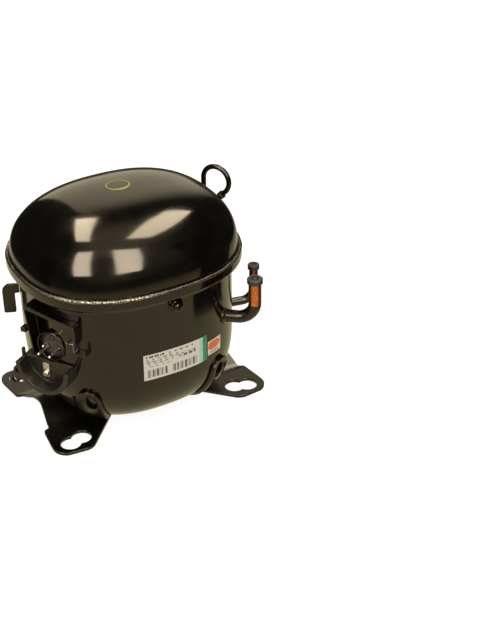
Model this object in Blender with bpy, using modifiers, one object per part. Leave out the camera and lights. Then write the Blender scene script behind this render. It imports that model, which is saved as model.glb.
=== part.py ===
"""Hermetic reciprocating compressor: welded oval can on two stamped base brackets, with the sprung
motor and pump unit inside.

Frame: +Z up, z = 0 at the undersides of the feet, origin at the centre of the base's slot pattern.
+X runs towards the end with the suction and discharge tubes, -Y is the label side. Metres.
"""
import math

import bmesh
import bpy
from mathutils import Matrix, Vector

# ---------------------------------------------------------------- driving dimensions (metres)
GAP = 0.0003                  # space left between two solids that touch
SHEET = 0.003                 # steel of the brackets

# oval can: superellipse plan |x/a|^n + |y/b|^n = 1
PLAN_POWER = 2.4
RIM_A, RIM_B = 0.103, 0.0945  # outside of the lower shell's flared rim
RIM_STEP = 0.009              # rim stands this far outside the bowl's wall
SHELL_WALL = 0.0032
BOWL_BOTTOM = 0.0008          # lowest point of the bowl above the floor
BOWL_CURVE = 0.075            # height over which the bowl rounds in
BOWL_POWER = 3.3
BOWL_DRAFT = 0.02             # inward draft of the bowl over its curved height
RIM_BOTTOM, RIM_TOP = 0.1395, 0.1468
DOME_HEIGHT = 0.058           # from the seam to the top of the dome
DOME_POWER = 2.45
DOME_LEAN = (0.0070, -0.0040) # how far the dome's top lies off the can's axis
SKIRT_BOTTOM = 0.1412         # lower edge of the upper shell, inside the rim
SEGMENTS = 32                 # facets round the can

# base brackets and their figure-8 slots
PAD_BEND = 0.031              # |y| where the strip bends up
SADDLE_HALF = 0.009           # |y| of the raised middle
SADDLE_RISE = 0.011
SLOT_OUTER = (0.0907, 0.0618) # lobe centres of one slot
SLOT_INNER = (0.0792, 0.0580)
SLOT_R = 0.0092
EAR_FRONT, EAR_REAR = math.radians(-55.0), math.radians(43.0)   # on the right bracket
EAR_TOP, EAR_WIDE, EAR_NARROW = 0.052, 0.0145, 0.0085   # wide towards the bracket's foot
EAR_SLANT = 0.014             # height up to which the narrow side is cut away
EAR_INNER = 0.045             # how far in under the bowl an ear starts
WINDOW_Z, WINDOW_R, WINDOW_RATIO = 0.040, 0.0085, 0.62

# terminal side, in a plane whose outward normal is TERM_ANGLE
TERM_ANGLE = math.radians(-146.4)
TERM_T, TERM_Z = -0.0195, 0.0915
TERM_R = 0.0142
TERM_FACE = 0.0975            # distance of the cup's rim from the origin along the normal
PIN_CIRCLE, PIN_R = 0.0064, 0.0012
FENCE_FACE, FENCE_SETBACK = 0.1045, 0.0060   # front edge, nearer the wall at its left end
EARTH_AT = (-0.0250, 0.0640)  # earth screw, along and up the terminal plane
CRADLE_EYES = ((-0.0530, 0.0610), (-0.0580, 0.0500))

# tubes
SUCTION_R, DISCHARGE_R, PROCESS_R = 0.0058, 0.0042, 0.0025
SUCTION_ENTRY, SUCTION_DIR = (0.0640, -0.0690, 0.0910), math.radians(-41.2)
DISCHARGE_ENTRY, DISCHARGE_DIR = (0.0900, -0.0300, 0.0765), math.radians(-12.0)
SUCTION_REACH, DISCHARGE_REACH = 0.0274, 0.0245
SUCTION_BEND, DISCHARGE_BEND = 0.0160, 0.0120
SUCTION_TOP, DISCHARGE_TOP = 0.1290, 0.1105
PLUG_SKIRT, PLUG_CROWN = 0.0018, 0.0028
PROCESS_LEG = (0.1040, 0.0400)
PROCESS_HOLE_Z = 0.100
PROCESS_LOOP_Z, PROCESS_LOOP_R, PROCESS_LOOP_DIR = 0.1742, 0.0138, math.radians(-60.0)
PROCESS_SWEEP, PROCESS_TAIL = 232.0, 0.0040             # degrees of the curl, and the straight after it
PROCESS_START = 0.083         # its inner end's distance from the can's axis

# pump unit
CRANK_X = -0.004
AXIS_Z = 0.144                # height of the cylinder's axis
THROW, ROD = 0.008, 0.048
BORE_R, PISTON_R, PISTON_HALF = 0.0133, 0.0130, 0.012
SHAFT_R, PIN_JOURNAL_R = 0.008, 0.007
BALL_R = 0.0065
CRANKPIN_PLAY = 0.0006        # radial; takes up the swing of the opened big-end pivot
EYE_SHIFT = 0.0003            # centres the eye on the pin's distances over one turn
SHANK_R, ROD_TIP_R = 0.0042, 0.0028
BLOCK_FACE = 0.065            # x of the cylinder's top face
PLATE_X, HEAD_X = (0.0661, 0.0691), (0.0694, 0.0805)    # valve plate and cylinder head
HEAD_HALF, HEAD_BOLT = 0.0190, 0.0155                   # half width, and bolts' offset from the axis
PORT_Y, PORT_R = 0.0055, 0.0022
REED_HALF, REED_ROOT, REED_SHEET = 0.0030, 0.0085, 0.0003
STATOR_HALF_X, STATOR_HALF_Y = 0.054, 0.050
STATOR_Z = (0.048, 0.094)
BOLT_X, BOLT_Y = 0.044, 0.038
PLATE_Z = (0.118, 0.128)
DISCHARGE_MUFFLER = (-0.0360, 0.0290)
SPRING_R, SPRING_WIRE_R, SPRING_TURNS = 0.0062, 0.0010, 4.0
SPRING_Z = (0.0177, 0.0466)
BALL_X = CRANK_X + THROW + ROD

# lays a plate's outline (across, up) on edge, its thickness along +X
ON_EDGE = Matrix(((0, 0, 1, 0), (1, 0, 0, 0), (0, 1, 0, 0), (0, 0, 0, 1)))

# ---------------------------------------------------------------- scene and helpers
for old in list(bpy.data.objects):
    bpy.data.objects.remove(old, do_unlink=True)

PARTS = bpy.data.collections.new("hermetic_compressor")
CUTTERS = bpy.data.collections.new("cutters")
bpy.context.scene.collection.children.link(PARTS)
bpy.context.scene.collection.children.link(CUTTERS)


def material(name, colour, roughness, metallic):
    made = bpy.data.materials.new(name)
    made.use_nodes = True
    shader = made.node_tree.nodes["Principled BSDF"]
    shader.inputs["Base Color"].default_value = (*colour, 1.0)
    shader.inputs["Roughness"].default_value = roughness
    shader.inputs["Metallic"].default_value = metallic
    return made


def new_object(name, mesh, mat=None, place=None):
    """Link a mesh as a part, or as a cutter when it has no material."""
    made = bpy.data.objects.new(name, mesh)
    if mat is None:
        CUTTERS.objects.link(made)
        made.hide_render = True
        made.display_type = "WIRE"
    else:
        PARTS.objects.link(made)
        mesh.materials.clear()
        mesh.materials.append(mat)
    if place is not None:
        made.matrix_world = place
    return made


def settle(obj):
    """Replace an object's data by its evaluated mesh, welded and facing out."""
    bpy.context.view_layer.update()
    graph = bpy.context.evaluated_depsgraph_get()
    mesh = bpy.data.meshes.new_from_object(obj.evaluated_get(graph))
    work = bmesh.new()
    work.from_mesh(mesh)
    bmesh.ops.remove_doubles(work, verts=work.verts, dist=1e-6)
    bmesh.ops.dissolve_degenerate(work, edges=work.edges, dist=1e-7)
    bmesh.ops.recalc_face_normals(work, faces=work.faces)
    work.to_mesh(mesh)
    work.free()
    return mesh


def keep(name, obj, mat, place=None, smooth=35.0):
    """Turn a construction object into a finished part."""
    mesh = settle(obj)
    mesh.transform(obj.matrix_world)
    bpy.data.objects.remove(obj, do_unlink=True)
    mesh.shade_smooth()
    mesh.set_sharp_from_angle(angle=math.radians(smooth))
    return new_object(name, mesh, mat, place)


def keep_at(origin, name, obj, mat):
    """Finish a moving part with its origin on its joint's axis."""
    return keep(name, moved(obj, Matrix.Translation(-Vector(origin))), mat, Matrix.Translation(origin))


def cylinder(radius, z0, z1, at=(0.0, 0.0), sides=24, top_radius=None):
    """Upright cylinder or cone from z0 to z1."""
    work = bmesh.new()
    end = radius if top_radius is None else top_radius
    bmesh.ops.create_cone(work, cap_ends=True, segments=sides, radius1=radius, radius2=end, depth=z1 - z0)
    mesh = bpy.data.meshes.new("cylinder")
    work.to_mesh(mesh)
    work.free()
    mesh.transform(Matrix.Translation((at[0], at[1], (z0 + z1) / 2)))
    return new_object("shape", mesh)


def box(low, high, bevel=0.0):
    """Box between two corners, its edges rounded when a bevel is given."""
    work = bmesh.new()
    bmesh.ops.create_cube(work, size=1.0)
    size = [h - l for l, h in zip(low, high)]
    bmesh.ops.scale(work, vec=size, verts=work.verts)
    mesh = bpy.data.meshes.new("box")
    work.to_mesh(mesh)
    work.free()
    mesh.transform(Matrix.Translation([(h + l) / 2 for l, h in zip(low, high)]))
    made = new_object("shape", mesh)
    if bevel > 0:
        rounding = made.modifiers.new("rounding", "BEVEL")
        rounding.width = bevel
        rounding.segments = 2
        mesh = settle(made)
        bpy.data.objects.remove(made, do_unlink=True)
        made = new_object("shape", mesh)
    return made


def turned(profile, sides=24, ring=False):
    """Body of revolution about Z. The profile runs down its outer side; a ring's profile closes."""
    mesh = bpy.data.meshes.new("profile")
    edges = [(i, i + 1) for i in range(len(profile) - 1)]
    if ring:
        edges.append((len(profile) - 1, 0))
    mesh.from_pydata([(r, 0.0, z) for r, z in profile], edges, [])
    made = new_object("shape", mesh)
    screw = made.modifiers.new("turn", "SCREW")
    screw.steps = sides
    screw.render_steps = sides
    screw.use_merge_vertices = True
    screw.merge_threshold = 1e-6
    finished = settle(made)
    bpy.data.objects.remove(made, do_unlink=True)
    return new_object("shape", finished)


def tube(points, radius, resolution=3):
    """Round bar along a path of points, with flat ends."""
    curve = bpy.data.curves.new("path", "CURVE")
    curve.dimensions = "3D"
    spline = curve.splines.new("POLY")
    spline.points.add(len(points) - 1)
    for knot, point in zip(spline.points, points):
        knot.co = (*point, 1.0)
    curve.bevel_depth = radius
    curve.bevel_resolution = resolution
    curve.use_fill_caps = True
    made = new_object("shape", curve)
    finished = settle(made)
    bpy.data.objects.remove(made, do_unlink=True)
    return new_object("shape", finished)


def plate(outline, z0, z1):
    """Flat plate: a closed outline in XY given thickness from z0 to z1."""
    curve = bpy.data.curves.new("outline", "CURVE")
    curve.dimensions = "2D"
    curve.fill_mode = "BOTH"
    curve.extrude = (z1 - z0) / 2
    spline = curve.splines.new("POLY")
    spline.points.add(len(outline) - 1)
    for knot, (x, y) in zip(spline.points, outline):
        knot.co = (x, y, 0.0, 1.0)
    spline.use_cyclic_u = True
    made = new_object("shape", curve)
    finished = settle(made)
    bpy.data.objects.remove(made, do_unlink=True)
    finished.transform(Matrix.Translation((0.0, 0.0, (z0 + z1) / 2)))
    return new_object("shape", finished)


def moved(obj, matrix):
    """Bake a transform into a construction object's mesh."""
    obj.data.transform(matrix)
    if matrix.determinant() < 0:
        obj.data.flip_normals()
    return obj


def combine(obj, other, operation):
    """Boolean of two construction objects; the second one is used up."""
    step = obj.modifiers.new("step", "BOOLEAN")
    step.operation = operation
    step.solver = "EXACT"
    step.object = other
    finished = settle(obj)
    bpy.data.objects.remove(obj, do_unlink=True)
    bpy.data.objects.remove(other, do_unlink=True)
    return new_object("shape", finished)


def cut(obj, *others):
    for other in others:
        obj = combine(obj, other, "DIFFERENCE")
    return obj


def join(obj, *others):
    for other in others:
        obj = combine(obj, other, "UNION")
    return obj


def toward(direction, at=(0.0, 0.0, 0.0)):
    """Matrix that lays +Z along a direction, at a point."""
    turn = Vector(direction).to_track_quat("Z", "Y").to_matrix().to_4x4()
    return Matrix.Translation(at) @ turn


def arc(centre, radius, start, end, steps):
    """Points of a circular arc in XY, angles in degrees."""
    angles = [math.radians(start + (end - start) * i / steps) for i in range(steps + 1)]
    return [(centre[0] + radius * math.cos(a), centre[1] + radius * math.sin(a)) for a in angles]


def oval_ring(half_a, half_b, z, shift=(0.0, 0.0)):
    """One ring of points on the can's superellipse plan."""
    ring = []
    for i in range(SEGMENTS):
        angle = 2 * math.pi * i / SEGMENTS
        c, s = math.cos(angle), math.sin(angle)
        x = half_a * math.copysign(abs(c) ** (2 / PLAN_POWER), c)
        y = half_b * math.copysign(abs(s) ** (2 / PLAN_POWER), s)
        ring.append((x + shift[0], y + shift[1], z))
    return ring


def loft(rings, closed=False):
    """Skin a list of rings; an open list is capped at both ends, a closed one is a hoop."""
    work = bmesh.new()
    rows = [[work.verts.new(point) for point in ring] for ring in rings]
    count = len(rows[0])
    pairs = list(zip(rows, rows[1:]))
    if closed:
        pairs.append((rows[-1], rows[0]))
    for lower, upper in pairs:
        for i in range(count):
            j = (i + 1) % count
            work.faces.new((lower[i], lower[j], upper[j], upper[i]))
    if not closed:
        work.faces.new(rows[0][::-1])
        work.faces.new(rows[-1])
    bmesh.ops.recalc_face_normals(work, faces=work.faces)
    mesh = bpy.data.meshes.new("loft")
    work.to_mesh(mesh)
    work.free()
    return new_object("shape", mesh)


BLACK_PAINT = material("black_paint", (0.012, 0.011, 0.009), 0.16, 0.0)
WELD_STEEL = material("painted_weld", (0.05, 0.046, 0.038), 0.35, 0.4)
STEEL = material("steel", (0.55, 0.55, 0.53), 0.32, 1.0)
ZINC = material("zinc_plated", (0.66, 0.62, 0.50), 0.35, 1.0)
COPPER = material("copper", (0.72, 0.30, 0.12), 0.30, 1.0)
RUBBER = material("grey_rubber", (0.075, 0.075, 0.068), 0.60, 0.0)
BLACK_PLASTIC = material("black_plastic", (0.015, 0.015, 0.014), 0.45, 0.0)
GLASS_SEAL = material("glass_seal", (0.10, 0.075, 0.045), 0.25, 0.2)
CAST_IRON = material("cast_iron", (0.20, 0.20, 0.20), 0.55, 0.9)
LAMINATION = material("lamination_steel", (0.30, 0.31, 0.33), 0.45, 0.9)
WINDING = material("enamelled_winding", (0.45, 0.16, 0.06), 0.40, 0.6)
ALUMINIUM = material("die_cast_aluminium", (0.60, 0.61, 0.62), 0.42, 1.0)
NATURAL_PLASTIC = material("natural_plastic", (0.72, 0.69, 0.60), 0.50, 0.0)
SPRING_STEEL = material("spring_steel", (0.42, 0.42, 0.42), 0.30, 1.0)


# ---------------------------------------------------------------- can
def bowl_scale(z):
    """Size of the bowl's plan at a height, as a share of its full plan."""
    depth = min(max((BOWL_CURVE - (z - BOWL_BOTTOM)) / BOWL_CURVE, 0.0), 1.0)
    return (1 - depth ** BOWL_POWER) ** (1 / BOWL_POWER) * (1 - BOWL_DRAFT * depth)


def bowl_rings(offset, top, steps=9):
    """Rings of the bowl's surface, offset outwards, from its bottom up to a height."""
    half_a, half_b = RIM_A - RIM_STEP, RIM_B - RIM_STEP
    rings = []
    for i in range(1, steps + 1):
        angle = math.pi / 2 * i / steps
        z = BOWL_BOTTOM + BOWL_CURVE * (1 - math.cos(angle) ** 0.8)
        scale = bowl_scale(z)
        slope = math.cos(angle)
        rings.append(oval_ring(half_a * scale + offset * math.sin(angle) ** 0.5,
                               half_b * scale + offset * math.sin(angle) ** 0.5, z - offset * slope))
    rings.append(oval_ring(half_a + offset, half_b + offset, top))
    return rings


def bowl_solid(offset, top):
    return loft(bowl_rings(offset, top))


def bottom_shell():
    half_a, half_b = RIM_A - RIM_STEP, RIM_B - RIM_STEP
    flare = 0.0045
    outer = bowl_rings(0.0, RIM_BOTTOM - flare)
    outer.append(oval_ring(RIM_A - 0.0012, RIM_B - 0.0012, RIM_BOTTOM - 0.0012))
    outer.append(oval_ring(RIM_A, RIM_B, RIM_BOTTOM + 0.0008))
    outer.append(oval_ring(RIM_A, RIM_B, RIM_TOP))
    inner = bowl_rings(-SHELL_WALL, RIM_BOTTOM - flare + 0.002, 7)
    rim_in = 0.0031
    inner.append(oval_ring(RIM_A - rim_in, RIM_B - rim_in, SKIRT_BOTTOM - GAP))
    inner.append(oval_ring(RIM_A - rim_in, RIM_B - rim_in, RIM_TOP))
    shell = loft(outer + inner[::-1])
    holes = [
        moved(cylinder(TERM_R + GAP, 0.070, 0.110, sides=24), term_matrix(TERM_T, TERM_Z, 0.0)),
        tube_cutter(SUCTION_ENTRY, SUCTION_DIR, SUCTION_R),
        tube_cutter(DISCHARGE_ENTRY, DISCHARGE_DIR, DISCHARGE_R),
        moved(cylinder(PROCESS_R + GAP, 0.070, 0.100, sides=14),
              toward(process_dir(), (0, 0, PROCESS_HOLE_Z))),
    ]
    keep("bottom_shell", cut(shell, *holes), BLACK_PAINT, smooth=40)


def process_dir():
    """Horizontal direction in which the process tube leaves the can."""
    return Vector((*PROCESS_LEG, 0.0)).normalized()


def tube_cutter(entry, angle, radius):
    direction = (math.cos(angle), math.sin(angle), 0.0)
    return moved(cylinder(radius + GAP, -0.012, 0.012, sides=16), toward(direction, entry))


def dome_rings(offset, steps, top):
    """Rings of the dome's surface from the seam to the top; offset is inward."""
    half_a, half_b = RIM_A - 0.0034 - offset, RIM_B - 0.0034 - offset
    height = top - RIM_TOP
    rings = []
    for i in range(steps):
        angle = math.pi / 2 * i / steps
        level = math.sin(angle)
        scale = (1 - level ** DOME_POWER) ** (1 / DOME_POWER)
        shift = [lean * level ** 2 for lean in DOME_LEAN]
        rings.append(oval_ring(half_a * scale, half_b * scale, RIM_TOP + height * level, shift))
    return rings


def top_shell():
    skirt = RIM_A - 0.0034, RIM_B - 0.0034
    outer = [oval_ring(*skirt, SKIRT_BOTTOM)] + dome_rings(0.0, 11, RIM_TOP + DOME_HEIGHT)
    inner = [oval_ring(skirt[0] - SHELL_WALL, skirt[1] - SHELL_WALL, SKIRT_BOTTOM)]
    inner += dome_rings(SHELL_WALL, 8, RIM_TOP + DOME_HEIGHT - SHELL_WALL)
    keep("top_shell", loft(inner[::-1] + outer), BLACK_PAINT, smooth=40)


def seam_weld():
    section = [(-0.0030, 0.0003), (-0.0002, 0.0003), (-0.0006, 0.0018), (-0.0026, 0.0028)]
    rings = [oval_ring(RIM_A + d, RIM_B + d, RIM_TOP + z) for d, z in section]
    keep("seam_weld", loft(rings, closed=True), WELD_STEEL)


# ---------------------------------------------------------------- base brackets
def bracket_outline():
    """Right bracket's plan, front half then mirrored to the back."""
    front = [(0.0945, 0.0), (0.0985, -0.026), (0.0985, -0.031), (0.1045, -0.0325), (0.1072, -0.056)]
    front += arc((0.0935, -0.0615), 0.0140, 0, -70, 5)
    front += arc((0.0815, -0.0620), 0.0145, -95, -135, 3)
    front += [(0.0380, -0.0360), (0.0460, -0.0200)]
    back = [(x, -y) for x, y in front[:0:-1]]
    return front + back


def bracket_ear(angle):
    """Ear that hugs the bowl's side above one foot, and the cutter of its oval window."""
    upright = Matrix.Rotation(angle, 4, "Z") @ ON_EDGE
    side = math.copysign(1.0, -angle)
    radius, middle = (EAR_WIDE + EAR_NARROW) / 2, (EAR_WIDE - EAR_NARROW) / 2
    face = [(0.0, 0.0), (EAR_WIDE, 0.0)] + arc((middle, EAR_TOP - radius), radius, 0, 180, 8)
    face = [(side * x, z) for x, z in face + [(-EAR_NARROW, EAR_SLANT)]]
    layer = bowl_solid(SHEET + GAP, 0.08)
    ear = combine(layer, moved(plate(face, EAR_INNER, 0.12), upright), "INTERSECT")
    oval = [(WINDOW_RATIO * x, y) for x, y in arc((0.0, WINDOW_Z), WINDOW_R, 0, 360, 12)[:-1]]
    return ear, moved(plate(oval, EAR_INNER, 0.12), upright)


def bracket(name, turn):
    """One stamping; the left bracket is the right one turned half way round."""
    half_run = [(-0.08, 0.0), (-PAD_BEND, 0.0), (-SADDLE_HALF, SADDLE_RISE)]
    run = half_run + [(-y, z) for y, z in half_run[::-1]]
    profile = run + [(y, z + SHEET) for y, z in run[::-1]]
    body = moved(plate(profile, 0.03, 0.11), ON_EDGE)
    body = combine(body, plate(bracket_outline(), -0.01, 0.03), "INTERSECT")
    for angle in (EAR_FRONT, EAR_REAR):
        ear, window = bracket_ear(angle)
        body = cut(join(body, ear), window)
    body = cut(body, bowl_solid(GAP, 0.08))
    for sign in (1, -1):
        for x, y in (SLOT_OUTER, SLOT_INNER):
            body = cut(body, cylinder(SLOT_R, -0.01, 0.02, (x, y * sign), 16))
    keep(name, moved(body, Matrix.Rotation(turn, 4, "Z")), BLACK_PAINT, smooth=30)


# ---------------------------------------------------------------- terminal side
def term_matrix(t, z, out):
    """Frame on the terminal plane: +Z out along its normal, +X along the plane, +Y up."""
    normal = Vector((math.cos(TERM_ANGLE), math.sin(TERM_ANGLE), 0.0))
    along = Vector((-normal.y, normal.x, 0.0))
    place = normal * out + along * t + Vector((0.0, 0.0, z))
    return Matrix((
        (along.x, 0.0, normal.x, place.x),
        (along.y, 0.0, normal.y, place.y),
        (along.z, 1.0, normal.z, place.z),
        (0.0, 0.0, 0.0, 1.0),
    ))


def term_plate(outline, out0, out1):
    """Plate on the terminal plane: outline in (along, up), thickness along the normal."""
    return moved(plate(outline, out0, out1), term_matrix(0.0, 0.0, 0.0))


def term_box(low, high, bevel=0.0):
    return moved(box(low, high, bevel), term_matrix(0.0, 0.0, 0.0))


def term_round(profile, t, z, ring=False, sides=24):
    return moved(turned(profile, sides, ring), term_matrix(t, z, 0.0))


def terminal_fence():
    """Sheet fence round the top and sides of the terminal, on edge to the wall."""
    sheet = 0.0018
    path = [(-0.0372, 0.0800), (-0.0440, 0.1250), (-0.0425, 0.1270), (0.0095, 0.1220), (0.0115, 0.1200),
            (0.0115, 0.1040)]
    inner = [(-0.0372 + sheet, 0.0800), (-0.0440 + sheet, 0.1236), (0.0115 - sheet, 0.1184),
             (0.0115 - sheet, 0.1040)]
    body = term_plate(path + inner[::-1], 0.0800, FENCE_FACE)
    right, left = path[-1][0], path[1][0]
    slope = Matrix.Rotation(-math.atan2(FENCE_SETBACK, right - left), 4, "Y")
    edge = term_matrix(0.0, 0.0, 0.0) @ Matrix.Translation((right, 0, FENCE_FACE)) @ slope
    body = cut(body, moved(box((-0.08, 0.05, 0.0), (0.03, 0.15, 0.03)), edge))
    body = join(body, term_box((-0.0455, 0.1030, 0.0960), (-0.0405, 0.1075, 0.1030)))
    keep("terminal_fence", cut(body, bowl_solid(GAP, 0.14)), BLACK_PAINT)


def pin_places():
    """The three terminal pins on their circle, one at the top."""
    turns = [math.radians(angle) for angle in (90, 210, 330)]
    return [(TERM_T + PIN_CIRCLE * math.cos(a), TERM_Z + PIN_CIRCLE * math.sin(a)) for a in turns]


def terminal():
    """Cup, glass-sealed disc and three pins."""
    wall = 0.0012
    cup = [(TERM_R - wall, TERM_FACE), (TERM_R, TERM_FACE), (TERM_R, 0.0845), (TERM_R - wall, 0.0845)]
    keep("terminal_cup", term_round(cup, TERM_T, TERM_Z, ring=True, sides=24), BLACK_PAINT)
    seal_r = TERM_R - wall - GAP
    disc = [(0.0, 0.0935), (seal_r, 0.0925), (seal_r, 0.0875), (0.0, 0.0875)]
    seal = term_round(disc, TERM_T, TERM_Z, sides=24)
    for t, z in pin_places():
        hole = moved(cylinder(PIN_R + GAP, 0.080, 0.100, sides=12), term_matrix(t, z, 0.0))
        seal = cut(seal, hole)
    keep("terminal_seal", seal, GLASS_SEAL)
    for number, (t, z) in enumerate(pin_places(), 1):
        pin = [(0.0, 0.1090), (PIN_R * 0.5, 0.1088), (PIN_R, 0.1078), (PIN_R, 0.0800), (0.0, 0.0800)]
        keep(f"terminal_pin_{number}", term_round(pin, t, z, sides=12), STEEL)


def terminal_cradle():
    """Half-round plastic cradle under the terminal, with two eyed lugs on its left."""
    centre, outer, inner = (-0.0210, 0.0770), 0.0270, 0.0225
    rim = arc(centre, outer, 180, 360, 16) + arc(centre, inner, 360, 180, 14)
    body = term_plate(rim, 0.0880, 0.1120)
    floor = arc(centre, outer - 0.001, 180, 360, 14)
    body = join(body, term_plate(floor, 0.0880, 0.0985))
    body = join(body, term_box((-0.0470, 0.0740, 0.1000), (-0.0445, 0.0860, 0.1030)))
    for t, z in CRADLE_EYES:
        eye = term_plate(arc((t, z), 0.0046, 0, 360, 12)[:-1], 0.1000, 0.1040)
        body = join(body, eye)
    body = join(body, term_box((-0.0560, 0.0520, 0.0995), (-0.0350, 0.0590, 0.1045)))
    for t, z in CRADLE_EYES:
        hole = term_plate(arc((t, z), 0.0024, 0, 360, 10)[:-1], 0.0900, 0.1100)
        body = cut(body, hole)
    seat = moved(cylinder(0.0017, 0.090, 0.120, sides=12), term_matrix(*EARTH_AT, 0.0))
    body = cut(body, bowl_solid(GAP, 0.13), seat)
    cup_room = cylinder(TERM_R + 0.0010, 0.080, 0.120, sides=24)
    body = cut(body, moved(cup_room, term_matrix(TERM_T, TERM_Z, 0.0)))
    keep("terminal_cradle", body, BLACK_PLASTIC)


def earth_parts():
    """Earth screw with its spade tab, and the spring clip that holds the cover."""
    head = [(0.0, 0.1025), (0.0022, 0.1022), (0.0030, 0.1010), (0.0030, 0.0998), (0.0014, 0.0998),
            (0.0014, 0.0965), (0.0, 0.0965)]
    keep("earth_screw", term_round(head, *EARTH_AT, sides=14), ZINC)
    t, z = EARTH_AT
    half, foot, tip = 0.0032, z - 0.0040, z + 0.0100
    tab = [(t - half, foot), (t + half, foot), (t + half, tip), (t - half, tip)]
    body = term_plate(tab, 0.0988, 0.0995)
    body = cut(body, moved(cylinder(0.0017, 0.095, 0.105, sides=12), term_matrix(t, z, 0.0)))
    keep("earth_tab", body, ZINC)
    arm = [(0.0000, 0.0925), (0.0190, 0.0925), (0.0190, 0.0990), (0.0168, 0.0990), (0.0168, 0.0950),
           (0.0075, 0.0950), (0.0075, 0.1030), (0.0000, 0.1030)]
    clip = cut(term_plate(arm, 0.0940, 0.1020), bowl_solid(GAP, 0.13))
    keep("cover_clip", clip, STEEL)


def cover_lug():
    """Fin under the rim at the left, which the terminal cover's strap hooks under."""
    angle = math.radians(157.0)
    fin = [(0.0890, 0.1165), (0.1070, 0.1165), (0.1118, 0.1120), (0.1118, 0.0880), (0.1008, 0.0880),
           (0.1008, 0.1080), (0.0890, 0.1080)]
    upright = Matrix.Rotation(angle, 4, "Z") @ Matrix.Rotation(math.pi / 2, 4, "X")
    body = moved(plate(fin, -0.0020, 0.0020), upright)
    keep("cover_lug", cut(body, bowl_solid(GAP, 0.13)), BLACK_PAINT)


# ---------------------------------------------------------------- tubes
def elbow(entry, angle, reach, bend, top, tail):
    """Centre line: out of the wall, one bend, straight up to a height."""
    out = Vector((math.cos(angle), math.sin(angle), 0.0))
    start = Vector(entry)
    points = [start - out * tail]
    for i in range(7):
        turn = math.pi / 2 * i / 6
        along = reach - bend + bend * math.sin(turn)
        points.append(start + out * along + Vector((0, 0, bend * (1 - math.cos(turn)))))
    points.append(Vector((points[-1].x, points[-1].y, top)))
    return points


def plug(name, radius, tip, direction):
    """Moulded cap pushed over a tube's end; its mouth is below the tube's tip."""
    outer = radius + 0.0013
    profile = [(0.0, PLUG_CROWN - 0.0012), (radius * 0.35, PLUG_CROWN - 0.0012), (radius * 0.5, PLUG_CROWN),
               (outer - 0.0005, PLUG_CROWN), (outer, PLUG_CROWN - 0.0006), (outer, -PLUG_SKIRT),
               (radius + GAP, -PLUG_SKIRT), (radius + GAP, GAP), (0.0, GAP)]
    keep(name, turned(profile, 20), RUBBER, toward(direction, tip))


def service_tubes():
    """Suction and discharge stubs, each with the cap that closes it for transport."""
    up = (0.0, 0.0, 1.0)
    inside = 0.0085
    suction = (SUCTION_ENTRY, SUCTION_DIR, SUCTION_REACH, SUCTION_BEND, SUCTION_TOP)
    discharge = (DISCHARGE_ENTRY, DISCHARGE_DIR, DISCHARGE_REACH, DISCHARGE_BEND, DISCHARGE_TOP)
    for name, route, radius in (("suction", suction, SUCTION_R), ("discharge", discharge, DISCHARGE_R)):
        path = elbow(*route, inside)
        keep(f"{name}_tube", tube(path, radius), COPPER)
        plug(f"{name}_plug", radius, path[-1], up)


def process_tube():
    """Thin tube that climbs behind the can and curls over, its end closed by a cap."""
    out = process_dir()
    leg = Vector((*PROCESS_LEG, 0.0))
    start = out * PROCESS_START + Vector((0, 0, PROCESS_HOLE_Z))
    reach = leg.length - PROCESS_START
    points = elbow(start, math.atan2(out.y, out.x), reach, 0.008, PROCESS_LOOP_Z, 0.0)
    across = Vector((math.cos(PROCESS_LOOP_DIR), math.sin(PROCESS_LOOP_DIR), 0.0))
    centre = leg + across * PROCESS_LOOP_R + Vector((0, 0, PROCESS_LOOP_Z))
    for i in range(1, 16):
        turn = math.radians(180 - PROCESS_SWEEP * i / 15)
        points.append(centre + across * PROCESS_LOOP_R * math.cos(turn)
                      + Vector((0, 0, PROCESS_LOOP_R * math.sin(turn))))
    heading = (points[-1] - points[-2]).normalized()
    points.append(points[-1] + heading * PROCESS_TAIL)
    keep("process_tube", tube(points, PROCESS_R, resolution=2), BLACK_PAINT)
    plug("process_plug", PROCESS_R, points[-1], heading)


def accessory_mount():
    """Threaded boss below the rim on the label side, with its screw."""
    at = (0.0065, -(RIM_B - RIM_STEP), 0.1277)
    frame = toward((0.0, -1.0, 0.0), at)
    boss = turned([(0.0022, 0.0035), (0.0058, 0.0035), (0.0066, 0.0004), (0.0022, 0.0004)], 20, ring=True)
    keep("accessory_boss", moved(boss, frame), BLACK_PAINT)
    screw = turned([(0.0, 0.0068), (0.0028, 0.0064), (0.0040, 0.0050), (0.0040, 0.0038), (0.0018, 0.0038),
                    (0.0018, 0.0006), (0.0, 0.0006)], 16)
    keep("accessory_screw", moved(screw, frame), STEEL)


# ---------------------------------------------------------------- motor and pump unit
def corners():
    return [(CRANK_X + sx * BOLT_X, sy * BOLT_Y) for sx, sy in ((1, 1), (-1, 1), (-1, -1), (1, -1))]


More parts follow.
